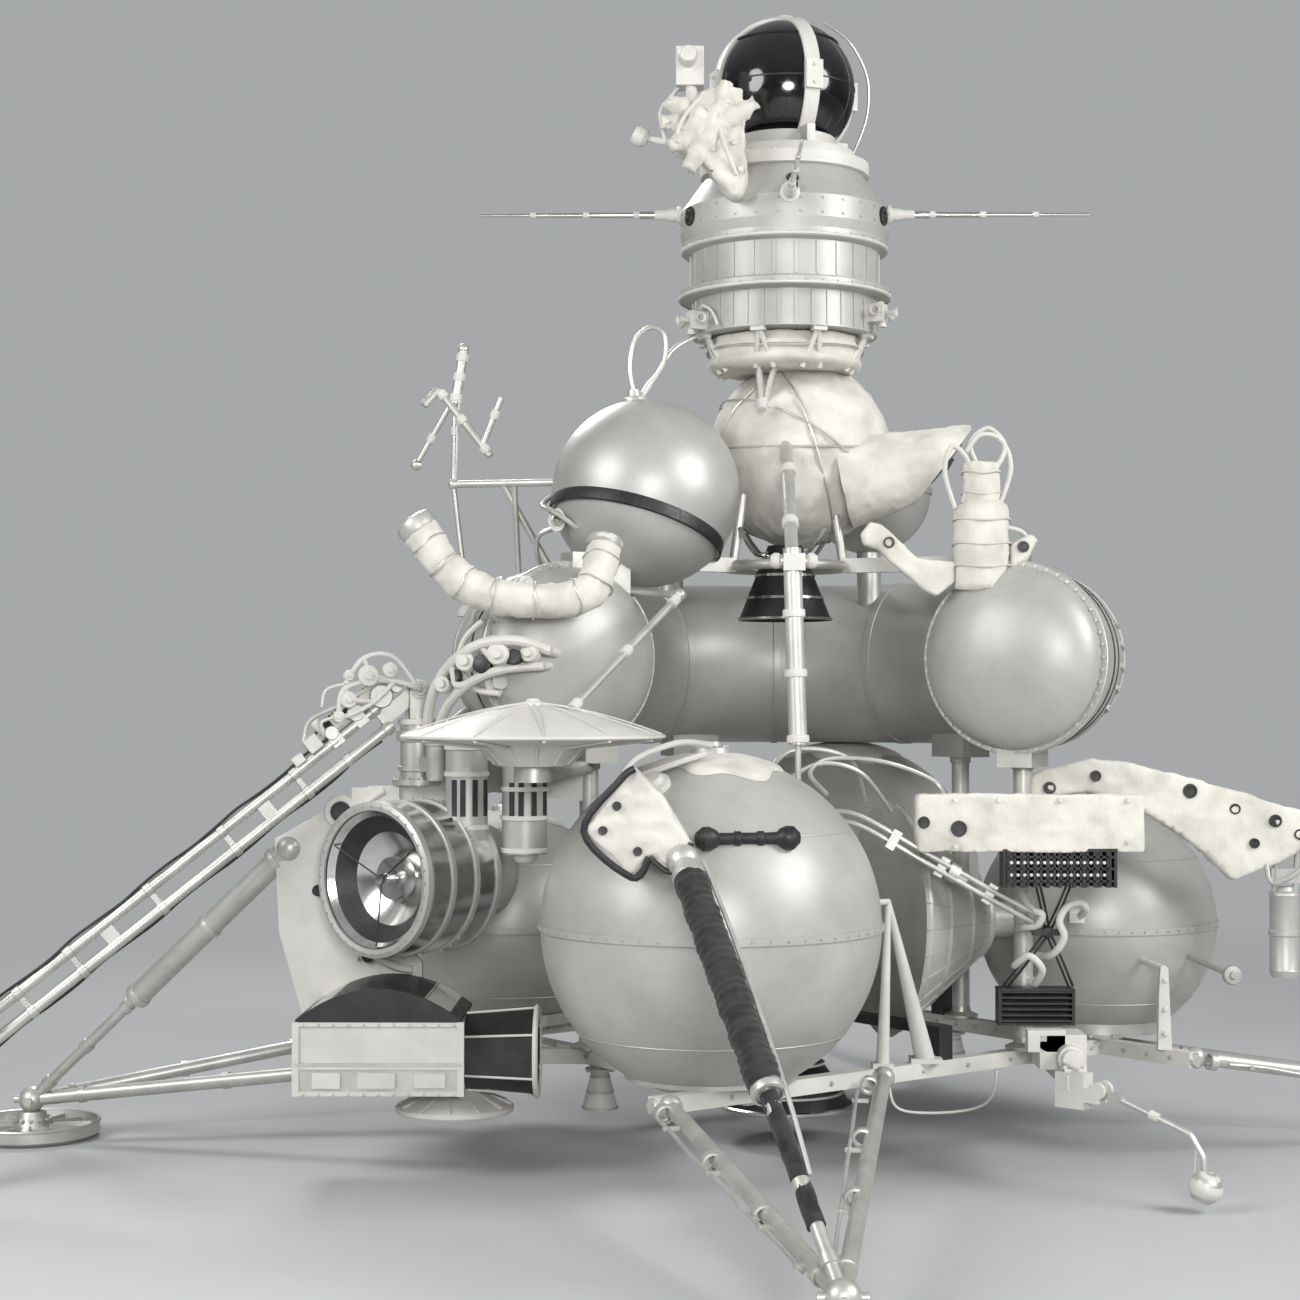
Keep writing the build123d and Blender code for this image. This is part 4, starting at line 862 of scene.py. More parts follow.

# electronics box: curved roof in black enamel as painted shade, corner strips, seams
box = {"middle": -1.335, "half": 0.265, "top": 0.520, "crown": 0.100, "face": -0.8075, "depth": 0.408}
bm = bmesh.new()
shares = [i / 12 - 1 for i in range(25)]
roof = [(box["middle"] + box["half"] * s, box["top"] + 0.003 + box["crown"] * (1 - s * s)) for s in shares]
roof += [(box["middle"] + box["half"], box["top"] - 0.005),
         (box["middle"] - box["half"], box["top"] - 0.005)]
addPlate(bm, roof, facing(-0.401), box["depth"])
makePiece("box_roof_painted_shade", bm, black, bevel=0.002)
bm = bmesh.new()
for side in (-1, 1):
    addBlock(bm, (box["middle"] + side * (box["half"] - 0.002), -0.807, 0.398), (0.022, 0.010, 0.236))
for z in (0.288, 0.372, 0.508):
    addBlock(bm, (box["middle"], box["face"], z), (0.530, 0.008, 0.014))
for k in range(11):
    for z in (0.288, 0.508):
        addBolt(bm, (-1.575 + 0.048 * k, box["face"] - 0.004, z), toViewer, 0.0045)
for x, wide, high in ((-1.50, 0.09, 0.05), (-1.34, 0.12, 0.05), (-1.17, 0.10, 0.045)):
    addBlock(bm, (x, box["face"] - 0.001, 0.33), (wide, 0.010, high))
makePiece("box_strips", bm, enamel, bevel=0.0015)
bm = bmesh.new()
addBlock(bm, (box["middle"], box["face"], 0.381), (0.534, 0.012, 0.010))
addBlock(bm, (box["middle"], -0.802, 0.330), (0.528, 0.008, 0.088))
makePiece("box_band", bm, frameAlloy)


def onHorn(x, size, angle):
    # spot on the radar horn's hexagon
    return Vector((x, -0.650 + size * math.cos(angle), 0.400 + size * math.sin(angle)))


hexagon = around(6, math.radians(30))
bm = bmesh.new()
sections = [(-1.068, 0.122), (-1.000, 0.124), (-0.850, 0.138), (-0.835, 0.140), (-0.846, 0.128),
            (-0.99, 0.105)]
rings = [[bm.verts.new(onHorn(x, size, a)) for a in hexagon] for x, size in sections]
for low, high in zip(rings, rings[1:]):
    bridge(bm, low, high)
bm.faces.new(rings[0][::-1])
bm.faces.new(rings[-1])
makePiece("radar_horn_box", bm, black, replaced=["radar_horn"], smooth=20, bevel=0.002)
bm = bmesh.new()
rim = smoothPath([onHorn(-0.838, 0.143, a) for a in hexagon], 5, closed=True)
addTube(bm, rim, 0.0095, 10, closed=True)
for a in hexagon:
    addTube(bm, [onHorn(-1.066, 0.124, a), onHorn(-0.842, 0.141, a)], 0.004, 8)
makePiece("radar_horn_rim", bm, enamel)

disc = Vector((-1.110, -0.600, 0.200))
bm = bmesh.new()
addLathe(bm, [(0.0, -0.003), (0.06, -0.003), (0.062, -0.006), (0.12, -0.006), (0.122, -0.003),
              (0.186, -0.003), (0.193, 0.004), (0.193, 0.016), (0.186, 0.020)], disc, up, 96)
for turn in around(12):
    addTube(bm, [disc + onRing(0.06, turn, 0.072), disc + onRing(0.185, turn, 0.022)], 0.005, 6)
makePiece("disc_antenna_ribs", bm, enamel)

# dish: rolled rim, gores, hub and stiffeners below
dish = {"centre": Vector((-0.827, -1.080, 1.424)), "rim": 0.402, "gores": 12}
bm = bmesh.new()
addTube(bm, [dish["centre"] + onRing(dish["rim"], a, 0.004) for a in around(90)], 0.0055, 8, closed=True)
for turn in around(dish["gores"], math.radians(8)):
    radii = [0.03 + 0.37 * i / 12 for i in range(13)]
    gore = [dish["centre"] + onRing(r, turn, 0.1075 - 0.098 * (r / 0.403) ** 1.55) for r in radii]
    addTube(bm, gore, 0.0022, 6)
    stiffener = [(0.115, -0.080), (0.168, -0.028), (0.395, -0.004)]
    addTube(bm, [dish["centre"] + onRing(r, turn, z) for r, z in stiffener], 0.006, 6)
addLathe(bm, [(0.0, 0.122), (0.018, 0.120), (0.024, 0.112), (0.040, 0.108), (0.044, 0.098)], dish["centre"],
         up, 32)
makePiece("dish_ribs", bm, enamel)

# camera pots: bands, a lens end below and slots in the hoods
bm = bmesh.new()
slots = bmesh.new()
for foot, low, high, radius in (((-1.080, -0.520, 0.0), 1.000, 1.395, 0.070),
                                ((-0.890, -0.490, 0.0), 1.030, 1.345, 0.075)):
    for height in (low + 0.012, low + 0.12, high - 0.10, high - 0.012):
        addLathe(bm, collar(radius - 0.002, radius + 0.005, 0.009, at=height), foot, up, 60)
    addLathe(bm, [(0.0, low - 0.030), (0.030, low - 0.028), (0.042, low - 0.012), (0.045, low + 0.004)],
             foot, up, 40)
    for angle in (-120, -95, -62, -25):
        addBlock(slots, Vector(foot) + polar(radius + 0.001, angle, (low + high) / 2 + 0.02),
                 (0.006, 0.018, 0.12), up, math.radians(angle))
makePiece("camera_bands", bm, enamel)
makePiece("camera_slots", slots, black, bevel=0.001)
print("stage radar, dish and cameras")


# Equipment panel, louvres, straps and pipes on the right

bm = bmesh.new()
addBlock(bm, (0.765, -0.602, 1.139), (0.742, 0.092, 0.186))
bindForm("panel_blanket", bm, 0.022, 0.006, 0.07, 15)
bm = bmesh.new()
for x, z, size in ((0.417, 1.142, 0.015), (0.531, 1.122, 0.020)):
    addPort(bm, (x, -0.650, z), size)
makePiece("panel_ports", bm, black)

# upper louvre with its studded slats, and the lower one behind the straps
louvre = {"middle": 0.860, "slats": 16, "pitch": 0.0215}
bm = bmesh.new()
addBlock(bm, (louvre["middle"], -0.600, 1.052), (0.372, 0.092, 0.010))
for k in range(louvre["slats"]):
    addBlock(bm, (0.690 + louvre["pitch"] * k, -0.644, 0.990), (0.007, 0.010, 0.116))
for z in (0.952, 0.992, 1.030):
    addBlock(bm, (louvre["middle"], -0.646, z), (0.356, 0.006, 0.008))
for side in (-0.180, 0.180):
    addBlock(bm, (louvre["middle"] + side, -0.600, 0.992), (0.010, 0.086, 0.124))
for row in range(6):
    addBlock(bm, (0.800, -0.524, 0.480 + 0.019 * row), (0.244, 0.012, 0.006), (0.0, 0.5, 1.0))
for x in (0.680, 0.922):
    addBlock(bm, (x, -0.490, 0.528), (0.010, 0.080, 0.114))
for z in (0.472, 0.585):
    addBlock(bm, (0.800, -0.490, z), (0.252, 0.080, 0.008))
addBlock(bm, (0.800, -0.462, 0.528), (0.244, 0.012, 0.110))
makePiece("louvre_slats", bm, black)
bm = bmesh.new()
for z in (0.972, 1.012):
    for k in range(louvre["slats"] - 1):
        addBolt(bm, (0.7007 + louvre["pitch"] * k, -0.649, z), toViewer, 0.0042)
for z in (0.50, 0.556):
    addBlock(bm, (0.790, -0.425, z), (0.06, 0.075, 0.018))
for x, z in ((0.66, 1.215), (0.52, 1.215), (0.86, 1.215), (1.08, 1.215), (0.52, 1.065), (1.08, 1.08)):
    addBolt(bm, (x, -0.651, z), toViewer, 0.007)
makePiece("louvre_studs", bm, frameAlloy)

# crossed straps from the column out to the louvres, knotted on a small boss
bm = bmesh.new()
knot = Vector((0.838, -0.520, 0.775))
bend = Vector((0, -0.012, 0))
for end in ((0.800, -0.560, 0.935), (0.905, -0.560, 0.940), (0.700, -0.500, 0.592), (0.918, -0.500, 0.592)):
    end = Vector(end)
    side = (end - knot).normalized().cross(toViewer) * 0.007
    for shift in (side, side * -1):
        addPipe(bm, [knot + shift, (knot + end) / 2 + shift + bend, end + shift], 0.0042, 8, 6)
addBlock(bm, knot + Vector((0, -0.008, 0)), (0.105, 0.022, 0.020))
addLathe(bm, [(0.0, 0.022), (0.016, 0.020), (0.020, 0.010), (0.022, -0.010)], knot, toViewer, 20)
addTube(bm, [knot + Vector((-0.02, 0.0, 0)), (0.792, -0.405, 0.775)], 0.009, 10)
makePiece("crossed_straps", bm, black)

bm = bmesh.new()
line = [Vector(spot) for spot in ((0.10, -0.790, 1.185), (0.216, -0.640, 1.160), (0.46, -0.625, 1.022),
                                  (0.741, -0.590, 0.864), (0.785, -0.500, 0.845), (0.783, -0.405, 0.845))]
for drop in (0.0, 0.032):
    addPipe(bm, [spot - up * drop for spot in line], 0.0085, 10)
for share in (0.2, 0.5, 0.8):
    addBlock(bm, (line[1] - up * 0.016).lerp(line[3] - up * 0.016, share), (0.018, 0.030, 0.066),
             (0.49, 0.0, 0.87))
addLathe(bm, [(0.0, 0.05), (0.018, 0.048), (0.020, 0.02), (0.030, 0.016), (0.032, -0.02), (0.0, -0.022)],
         (0.520, -0.600, 0.975), (0.87, 0, -0.49), 24)
for path in (
    [(0.10, -0.70, 1.235), (0.05, -0.62, 1.30), (0.12, -0.55, 1.345), (0.30, -0.52, 1.335),
     (0.47, -0.50, 1.27), (0.50, -0.56, 1.20)],
    [(-0.10, -0.72, 1.30), (-0.02, -0.60, 1.37), (0.10, -0.55, 1.375), (0.20, -0.50, 1.33),
     (0.25, -0.40, 1.20)],
    [(-0.05, -0.62, 1.26), (0.08, -0.58, 1.33), (0.22, -0.55, 1.30), (0.33, -0.45, 1.17)],
):
    addPipe(bm, path, 0.008)
makePiece("transfer_pipes", bm, frameAlloy)

cone = {"start": Vector((0.330, -0.230, 0.790)), "end": Vector((0.680, -0.140, 0.780)),
        "wide": 0.400, "narrow": 0.110}
coneWay = cone["end"] - cone["start"]
bm = bmesh.new()
for share in (0.06, 0.34, 0.66, 0.94):
    r = cone["wide"] + (cone["narrow"] - cone["wide"]) * share
    addLathe(bm, [(r - 0.002, -0.008), (r + 0.004, -0.007), (r + 0.002, 0.007), (r - 0.006, 0.008)],
             cone["start"] + coneWay * share, coneWay, 96)
conePlace = turned(cone["start"], coneWay)
for a in around(28):
    addTube(bm, [conePlace @ onRing(cone["wide"] + 0.0005, a, 0.002),
                 conePlace @ onRing(cone["narrow"] + 0.0015, a, coneWay.length - 0.004)], 0.003, 6)
makePiece("cone_seams", bm, paleShell)

bm = bmesh.new()
for path in (
    [(0.775, -0.43, 0.90), (0.765, -0.50, 0.885), (0.785, -0.545, 0.850), (0.815, -0.555, 0.835),
     (0.800, -0.545, 0.800), (0.760, -0.52, 0.790), (0.755, -0.44, 0.775)],
    [(0.805, -0.44, 0.69), (0.850, -0.53, 0.700), (0.885, -0.560, 0.760), (0.870, -0.565, 0.815),
     (0.895, -0.560, 0.860), (0.940, -0.545, 0.875), (0.965, -0.52, 0.850), (0.955, -0.46, 0.820)],
    [(0.755, -0.43, 0.66), (0.730, -0.52, 0.665), (0.770, -0.56, 0.700), (0.815, -0.55, 0.655),
     (0.80, -0.50, 0.600)],
):
    addPipe(bm, path, 0.0125, 12)
addBlock(bm, (0.945, -0.44, 0.835), (0.05, 0.06, 0.07))
makePiece("strap_hoses", bm, enamel)

# sensor can hung under the right bracket, its valve and the lug of the frame
bm = bmesh.new()
addLathe(bm, [(0.0, 0.915), (0.030, 0.913), (0.034, 0.900), (0.050, 0.894), (0.052, 0.886), (0.049, 0.880),
              (0.049, 0.770), (0.053, 0.766), (0.053, 0.752), (0.049, 0.748), (0.049, 0.640),
              (0.052, 0.634), (0.046, 0.612), (0.0, 0.608)], (1.655, -0.384, 0), up, 48)
for x in (1.620, 1.690):
    addTube(bm, [(x, -0.384, 0.885), (x + 0.01, -0.384, 1.05)], 0.010, 10)
addPipe(bm, [(1.59, -0.40, 0.99), (1.60, -0.43, 0.93), (1.66, -0.44, 0.95), (1.72, -0.42, 0.99)], 0.008)
addBlock(bm, (1.66, -0.384, 0.95), (0.10, 0.016, 0.05))
addTube(bm, [(1.37, -0.18, 0.66), (1.476, -0.385, 0.618)], 0.010, 10)
addLathe(bm, [(0.0, 0.020), (0.012, 0.020), (0.014, 0.012), (0.030, 0.010), (0.033, 0.0), (0.030, -0.014),
              (0.0, -0.016)], (1.476, -0.390, 0.618), (0.2, -1, 0.1), 28)
makePiece("hanging_sensor", bm, aluminium)
bm = bmesh.new()
addPlate(bm, [(1.226, 0.368), (1.274, 0.368), (1.268, 0.50), (1.262, 0.640), (1.250, 0.652), (1.236, 0.648),
              (1.230, 0.56)], facing(-0.372), 0.026)
for z, size in ((0.425, 0.010), (0.505, 0.008), (0.60, 0.007)):
    addBolt(bm, (1.250, -0.398, z), toViewer, size)
addTube(bm, [(1.250, -0.385, 0.640), (1.18, -0.23, 0.66)], 0.011, 10)
makePiece("frame_lug", bm, enamel, bevel=0.003)

# two tapered braces from the front tank's side down to the frame
bm = bmesh.new()
apex = Vector((0.285, -0.815, 0.900))
for foot, wide in ((Vector((0.420, -0.655, 0.368)), 0.034), (Vector((0.270, -0.770, 0.368)), 0.022)):
    addTube(bm, [apex.lerp(foot, i / 8) for i in range(9)],
            lambda share: 0.009 + (wide - 0.009) * share, 12)
    addBlock(bm, foot + Vector((0, 0, 0.008)), (wide * 3, wide * 2.6, 0.016))
addTube(bm, [apex, (0.240, -0.900, 0.905)], 0.010, 10)
loop = [(0.290, -0.750, 0.330), (0.315, -0.745, 0.240), (0.42, -0.70, 0.212), (0.58, -0.60, 0.208),
        (0.655, -0.52, 0.240), (0.680, -0.450, 0.330)]
addPipe(bm, loop, 0.0045)
makePiece("tank_braces", bm, enamel)
print("stage right side")


# Bracket on the front tank: bound face with a dark edging, and the dark link bar beside it

bracketFace = [(-549, 1311), (-655, 1162), (-517, 1030), (-467, 1088), (-403, 1047), (-345, 1129),
               (-427, 1261), (-509, 1343)]
bindPlate("tank_bracket_blanket", bracketFace, -1.440, 0.080, 0.020, 0.010, 16)
bm = bmesh.new()
edge = [Vector((x * 0.001, -1.518, z * 0.001)) for x, z in bracketFace]
addPipe(bm, [edge[7], *edge[:4]], 0.011, 10, 6)
addPipe(bm, [edge[3], edge[4], edge[5] + Vector((0, 0.004, 0))], 0.009, 10, 6)
for x, z in ((-0.560, 1.235), (-0.600, 1.165), (-0.500, 1.105)):
    addLathe(bm, [(0.0, 0.002), (0.010, 0.004), (0.013, 0.004), (0.014, -0.02)], (x, -1.524, z), toViewer,
             20)
makePiece("tank_bracket_edge", bm, black)
bm = bmesh.new()
link = {"start": Vector((-0.300, -1.424, 1.135)), "end": Vector((-0.060, -1.366, 1.135))}
addLathe(bm, [(0.0, -0.036), (0.020, -0.032), (0.0355, -0.012), (0.036, 0.008), (0.026, 0.028),
              (0.018, 0.036), (0.0175, 0.080), (0.022, 0.084), (0.022, 0.100), (0.0175, 0.104),
              (0.0175, 0.150), (0.022, 0.154), (0.022, 0.170), (0.0175, 0.174), (0.018, 0.212),
              (0.028, 0.222), (0.036, 0.240), (0.035, 0.262), (0.018, 0.280), (0.0, 0.283)], link["start"],
         link["end"] - link["start"], 40)
makePiece("tank_link_bar", bm, black)
bm = bmesh.new()
for path in (
    [(-0.62, -1.10, 1.24), (-0.52, -1.16, 1.30), (-0.40, -1.18, 1.345), (-0.30, -1.12, 1.375)],
    [(-0.55, -1.30, 1.32), (-0.50, -1.24, 1.37), (-0.38, -1.16, 1.41), (-0.28, -1.02, 1.40)],
):
    addPipe(bm, path, 0.010)
addLathe(bm, [(0.0, 0.05), (0.03, 0.048), (0.034, 0.03), (0.05, 0.026), (0.052, -0.02)],
         (-0.45, -1.20, 1.27), (-0.3, -0.45, 0.85), 28)
makePiece("front_tank_lines", bm, enamel)


# Struts and foot pads: collars, clamps, pipes and ribs; black tape on the front shock

ankle = {"reach": 2.660, "height": 0.130}
strutFeet = ((1.3337, -0.4476, 0.345), (0.8070, 0.2273, 0.345))
legTable = [
    # name, heading in degrees and the shock's upper end in the leg's own frame
    ("front", -90, (1.530, -0.370, 1.080)), ("rear", 90, (1.530, -0.370, 1.080)),
    ("left", 180, (1.690, 0.380, 1.040)), ("right", 0, (1.735, -0.380, 1.090)),
]
collars, tape, pads, lines = (bmesh.new() for _ in range(4))
for name, angle, root in legTable:
    turn = Matrix.Rotation(math.radians(angle), 3, "Z")
    low = turn @ Vector((ankle["reach"], 0, ankle["height"]))
    top = turn @ Vector(root)
    along = (low - top).normalized()
    reach = (low - top).length
    for share, radius in ((0.045, 0.047), (0.30, 0.0425), (0.575, 0.044)):
        addLathe(collars, collar(radius - 0.008, radius, 0.016, crown=0.003), top + along * reach * share,
                 along, 40)
    for share in (0.62, 0.78, 0.93):
        addLathe(collars, collar(0.017, 0.024, 0.018, 0.003), top + along * reach * share, along, 28)
    if name == "front":
        # tape wound over the sleeve and the rod below it, and a pipe that follows the shock
        sleeve = [top + along * reach * (0.05 + 0.00525 * i) for i in range(100)]
        addTube(tape, sleeve,
                lambda share: 0.0475 + 0.0020 * math.sin(share * 170) + 0.0018 * math.sin(share * 43), 30)
        addTube(tape, [top + along * reach * (0.585 + 0.012 * i) for i in range(24)], 0.0245, 20)
        addPipe(lines, [top + Vector((0.06, -0.02, 0.0)), top + along * 0.35 + Vector((0.062, -0.015, 0)),
                        top + along * 0.85 + Vector((0.05, -0.02, 0)),
                        top + along * 1.15 + Vector((0.03, -0.01, 0))], 0.007)
    for foot in strutFeet:
        foot = turn @ Vector(foot)
        run = low - foot
        for share in (0.05, 0.34, 0.62, 0.9):
            addLathe(collars, collar(0.022, 0.029, 0.014), foot + run * share, run, 28)
        side = run.cross(up).normalized() * 0.034
        path = [foot + run * (0.08 + 0.1 * i) + side + up * (0.004 * math.sin(i * 2.1)) for i in range(9)]
        addPipe(lines, path, 0.006, 8, 4)
        for share in (0.14, 0.4, 0.68, 0.86):
            addBlock(collars, foot + run * share + side * 0.6, (0.016, 0.012, 0.05), side)
    pad = Vector((low.x, low.y, 0))
    addLathe(pads, [(0.2345, 0.046), (0.238, 0.052), (0.234, 0.058), (0.228, 0.056), (0.2265, 0.048)], pad,
             up, 90)
    addLathe(pads, [(0.073, 0.026), (0.078, 0.030), (0.074, 0.036), (0.066, 0.034)], pad, up, 48)
    for a in around(12, 0.2):
        addBlock(pads, pad + onRing(0.138, a, 0.036), (0.130, 0.006, 0.022), up, a)
        addBolt(pads, pad + onRing(0.060, a, 0.062), onRing(0.6, a, 0.4).normalized(), 0.006)
    for a in (0.0, math.pi / 2):
        addTube(pads, [pad + onRing(half, a, ankle["height"]) for half in (-0.062, 0.062)], 0.014, 16)
makePiece("strut_collars", collars, frameAlloy)
crumple(tape, 0.0038, 0.028, 6)
makePiece("front_shock_tape", tape, blackTape, smooth=60)
makePiece("foot_pad_ribs", pads, frameAlloy)
makePiece("strut_pipes", lines, frameAlloy)

# the post in front of the ascent stage, its struts and the ring below the bay
bm = bmesh.new()
postTop, postFoot = Vector((-0.012, -0.700, 2.000)), Vector((0.005, -0.735, 1.396))
for share in (0.02, 0.30, 0.62, 0.97):
    addLathe(bm, collar(0.028, 0.036, 0.014, crown=0.001), postTop.lerp(postFoot, share),
             postFoot - postTop, 32)
for x in (-0.064, 0.050):
    addLathe(bm, [(0.0, -0.020), (0.018, -0.018), (0.026, -0.006), (0.026, 0.008), (0.016, 0.020),
                  (0.0, 0.022)], (x, -0.702, 1.990), (1, 0, 0), 24)
addBlock(bm, (-0.006, -0.722, 1.985), (0.07, 0.03, 0.055))
for spot in ((-0.003, -0.31, 2.32), (-0.010, -0.55, 2.123)):
    addLathe(bm, collar(0.021, 0.028, 0.016), spot, (-0.01, -0.78, -0.62), 28)
strutTop, strutFoot = Vector((-0.374, -0.532, 1.887)), Vector((-0.720, -1.080, 1.500))
for share in (0.06, 0.5, 0.94):
    addLathe(bm, collar(0.012, 0.018, 0.02), strutTop.lerp(strutFoot, share), strutFoot - strutTop, 24)
for foot in ((-0.105, -0.200, 2.800), (-0.015, -0.200, 2.800)):
    addBlock(bm, foot, (0.05, 0.03, 0.04))
addLathe(bm, [(0.0, 0.020), (0.014, 0.018), (0.018, 0.0), (0.022, -0.02)], (-0.088, -0.215, 2.555),
         (0, -0.6, -0.8), 20)
for angle in (200, 340, 20, 90, 160, 250, 290):
    foot = polar(0.300, angle, 2.820)
    for spread in (8, -8):
        addTube(bm, [foot, polar(0.235, angle + spread, 2.690)], 0.010, 10)
    addBlock(bm, foot + polar(0.004, angle), (0.03, 0.05, 0.03), up, math.radians(angle))
makePiece("stage_strut_fittings", bm, enamel)

bm = bmesh.new()
for spot, axis, r in (((-1.180, 0.060, 2.310), (0, 0, 1), 0.012),
                      ((-1.1765, 0.060, 2.500), (0.02, 0, 1), 0.012),
                      ((-1.172, 0.060, 2.620), (0.15, 0, 1), 0.021),
                      ((-1.160, 0.060, 2.695), (0.15, 0, 1), 0.021),
                      ((-1.149, 0.060, 2.765), (0.15, 0, 1), 0.021),
                      ((-1.220, 0.058, 2.630), (-0.19, 0.03, 0.24), 0.018),
                      ((-1.150, 0.048, 2.540), (0.19, -0.03, -0.24), 0.018),
                      ((-1.065, 0.034, 2.433), (0.19, -0.03, -0.24), 0.018),
                      ((-1.030, 0.026, 2.556), (0.07, -0.02, 0.17), 0.016),
                      ((-1.262, 0.080, 2.477), (-0.12, 0.04, -0.21), 0.014)):
    addLathe(bm, collar(r * 0.7, r, 0.016, crown=r * 0.1), spot, axis, 24)
addPipe(bm, [(-1.172, 0.052, 2.32), (-1.168, 0.045, 2.42), (-1.166, 0.048, 2.52), (-1.158, 0.045, 2.61)],
        0.0035, 6, 6)
for spot in ((-0.800, 0.060, 1.960), (-0.945, 0.060, 1.965), (-1.128, 0.060, 1.858)):
    addLathe(bm, [(0.0, 0.020), (0.020, 0.018), (0.034, 0.004), (0.040, -0.02)], spot, up, 24)
makePiece("turnstile_fittings", bm, enamel)
print("stage struts and legs")


# Boom: its own axes are s along it, n square to it in the upright plane and a across it

boomPost = Vector((-1.258, -0.380, 1.573))
boomHeading = math.degrees(math.atan2(boomPost.y, boomPost.x))
boomLevel = polar(1, boomHeading)
boomDrop = math.radians(38.2)
boomAlong = boomLevel * math.cos(boomDrop) - up * math.sin(boomDrop)
boomAcross = polar(1, boomHeading + 90)
boomUpward = boomLevel * math.sin(boomDrop) + up * math.cos(boomDrop)
boomLength = 1.943


def onBoom(s, n=0.0, a=0.0):
    return boomPost + boomAlong * s + boomUpward * n + boomAcross * a


bm = bmesh.new()
for s in (0.16, 0.33, 0.50, 0.80, 1.10, 1.42, 1.62, 1.84):
    for n in (-0.038, 0.038):
        addLathe(bm, collar(0.018, 0.024, 0.014), onBoom(s, n), boomAlong, 28)
for s in (0.50, 0.80, 1.10, 1.42, 1.62):
    addBlock(bm, onBoom(s), (0.024, 0.018, 0.060), boomUpward)
    for side in (-1, 1):
        addBolt(bm, onBoom(s, 0.0, 0.012 * side), boomAcross * side, 0.006)
for s, n, r, half in ((0.115, 0.064, 0.040, 0.0375), (0.215, 0.074, 0.030, 0.030),
                      (0.320, 0.070, 0.024, 0.035), (0.055, 0.060, 0.022, 0.050)):
    spool = [(0.0, half), (r * 0.9, half), (r, half - 0.006), (r, half - 0.014), (r * 0.82, half - 0.018)]
    addLathe(bm, [(radius, -height) for radius, height in spool] + spool[::-1], onBoom(s, n), boomAcross,
             36)
for s, n in ((0.115, 0.046), (0.215, 0.048), (0.320, 0.046)):
    addBlock(bm, onBoom(s, n), (0.045, 0.044, 0.05), boomUpward)
makePiece("boom_clamps", bm, frameAlloy, body="boom_arm")

bm = bmesh.new()
addTube(bm, [onBoom(0.13 + 0.0011 * k, 0.100 + 0.016 * math.cos(math.pi * k / 6),
                    0.016 * math.sin(math.pi * k / 6)) for k in range(0, 200, 2)], 0.0050, 8)
addTube(bm, [onBoom(0.085, 0.090), onBoom(0.12, 0.100), onBoom(0.36, 0.100), onBoom(0.40, 0.06),
             onBoom(0.42, 0.05)], 0.006, 8)
for n, a, start, end in ((0.062, 0.010, 0.34, 1.85), (-0.060, -0.012, 0.20, 1.88)):
    addPipe(bm, [onBoom(start + (end - start) * i / 16, n + 0.004 * math.sin(i * 1.9),
                        a + 0.004 * math.cos(i * 2.6)) for i in range(17)], 0.0048, 8, 4)
makePiece("boom_cables", bm, black, body="boom_arm")

bm = bmesh.new()
for s, n, size in ((0.075, 0.088, (0.045, 0.06, 0.035)), (0.165, 0.090, (0.04, 0.07, 0.035)),
                   (0.275, 0.092, (0.05, 0.05, 0.045)), (0.39, 0.080, (0.07, 0.05, 0.05)),
                   (0.46, 0.066, (0.05, 0.04, 0.03))):
    addBlock(bm, onBoom(s, n), size, boomUpward)
for s, n, a in ((0.10, 0.100, 0.02), (0.22, 0.108, -0.02), (0.34, 0.124, 0.015)):
    addLathe(bm, [(0.0, 0.014), (0.014, 0.012), (0.018, 0.0), (0.010, -0.05)], onBoom(s, n, a), boomUpward,
             20)
for path in (
    [(0.06, 0.10, 0.0), (0.12, 0.110, 0.045), (0.20, 0.120, 0.045), (0.27, 0.105, 0.01)],
    [(0.20, 0.105, 0.0), (0.27, 0.128, -0.035), (0.35, 0.140, -0.03), (0.41, 0.100, 0.0)],
):
    addPipe(bm, [onBoom(*spot) for spot in path], 0.007)
makePiece("boom_gear_boxes", bm, enamel, body="boom_arm", bevel=0.004)

bm = bmesh.new()
lowRing = Vector((boomPost.x, boomPost.y, boomPost.z - 0.120))
for side in (1, -1):
    spot = boomPost + boomAcross * side * 0.046
    addLathe(bm, [(0.0, 0.010), (0.016, 0.009), (0.020, 0.002), (0.030, 0.001), (0.034, -0.006)], spot,
             boomAcross * side, 32)
    addBoltRing(bm, spot + boomAcross * side * 0.001, boomAcross * side, 0.025, 6, 0.0035, math.pi / 2)
addLathe(bm, [(0.056, 0.003), (0.064, 0.004), (0.066, 0.012), (0.064, 0.022), (0.056, 0.023)], lowRing, up,
         60)
addBoltRing(bm, lowRing + up * 0.0243, up, 0.050, 14, 0.003)
makePiece("turret_details", bm, enamel, body="boom_turret")

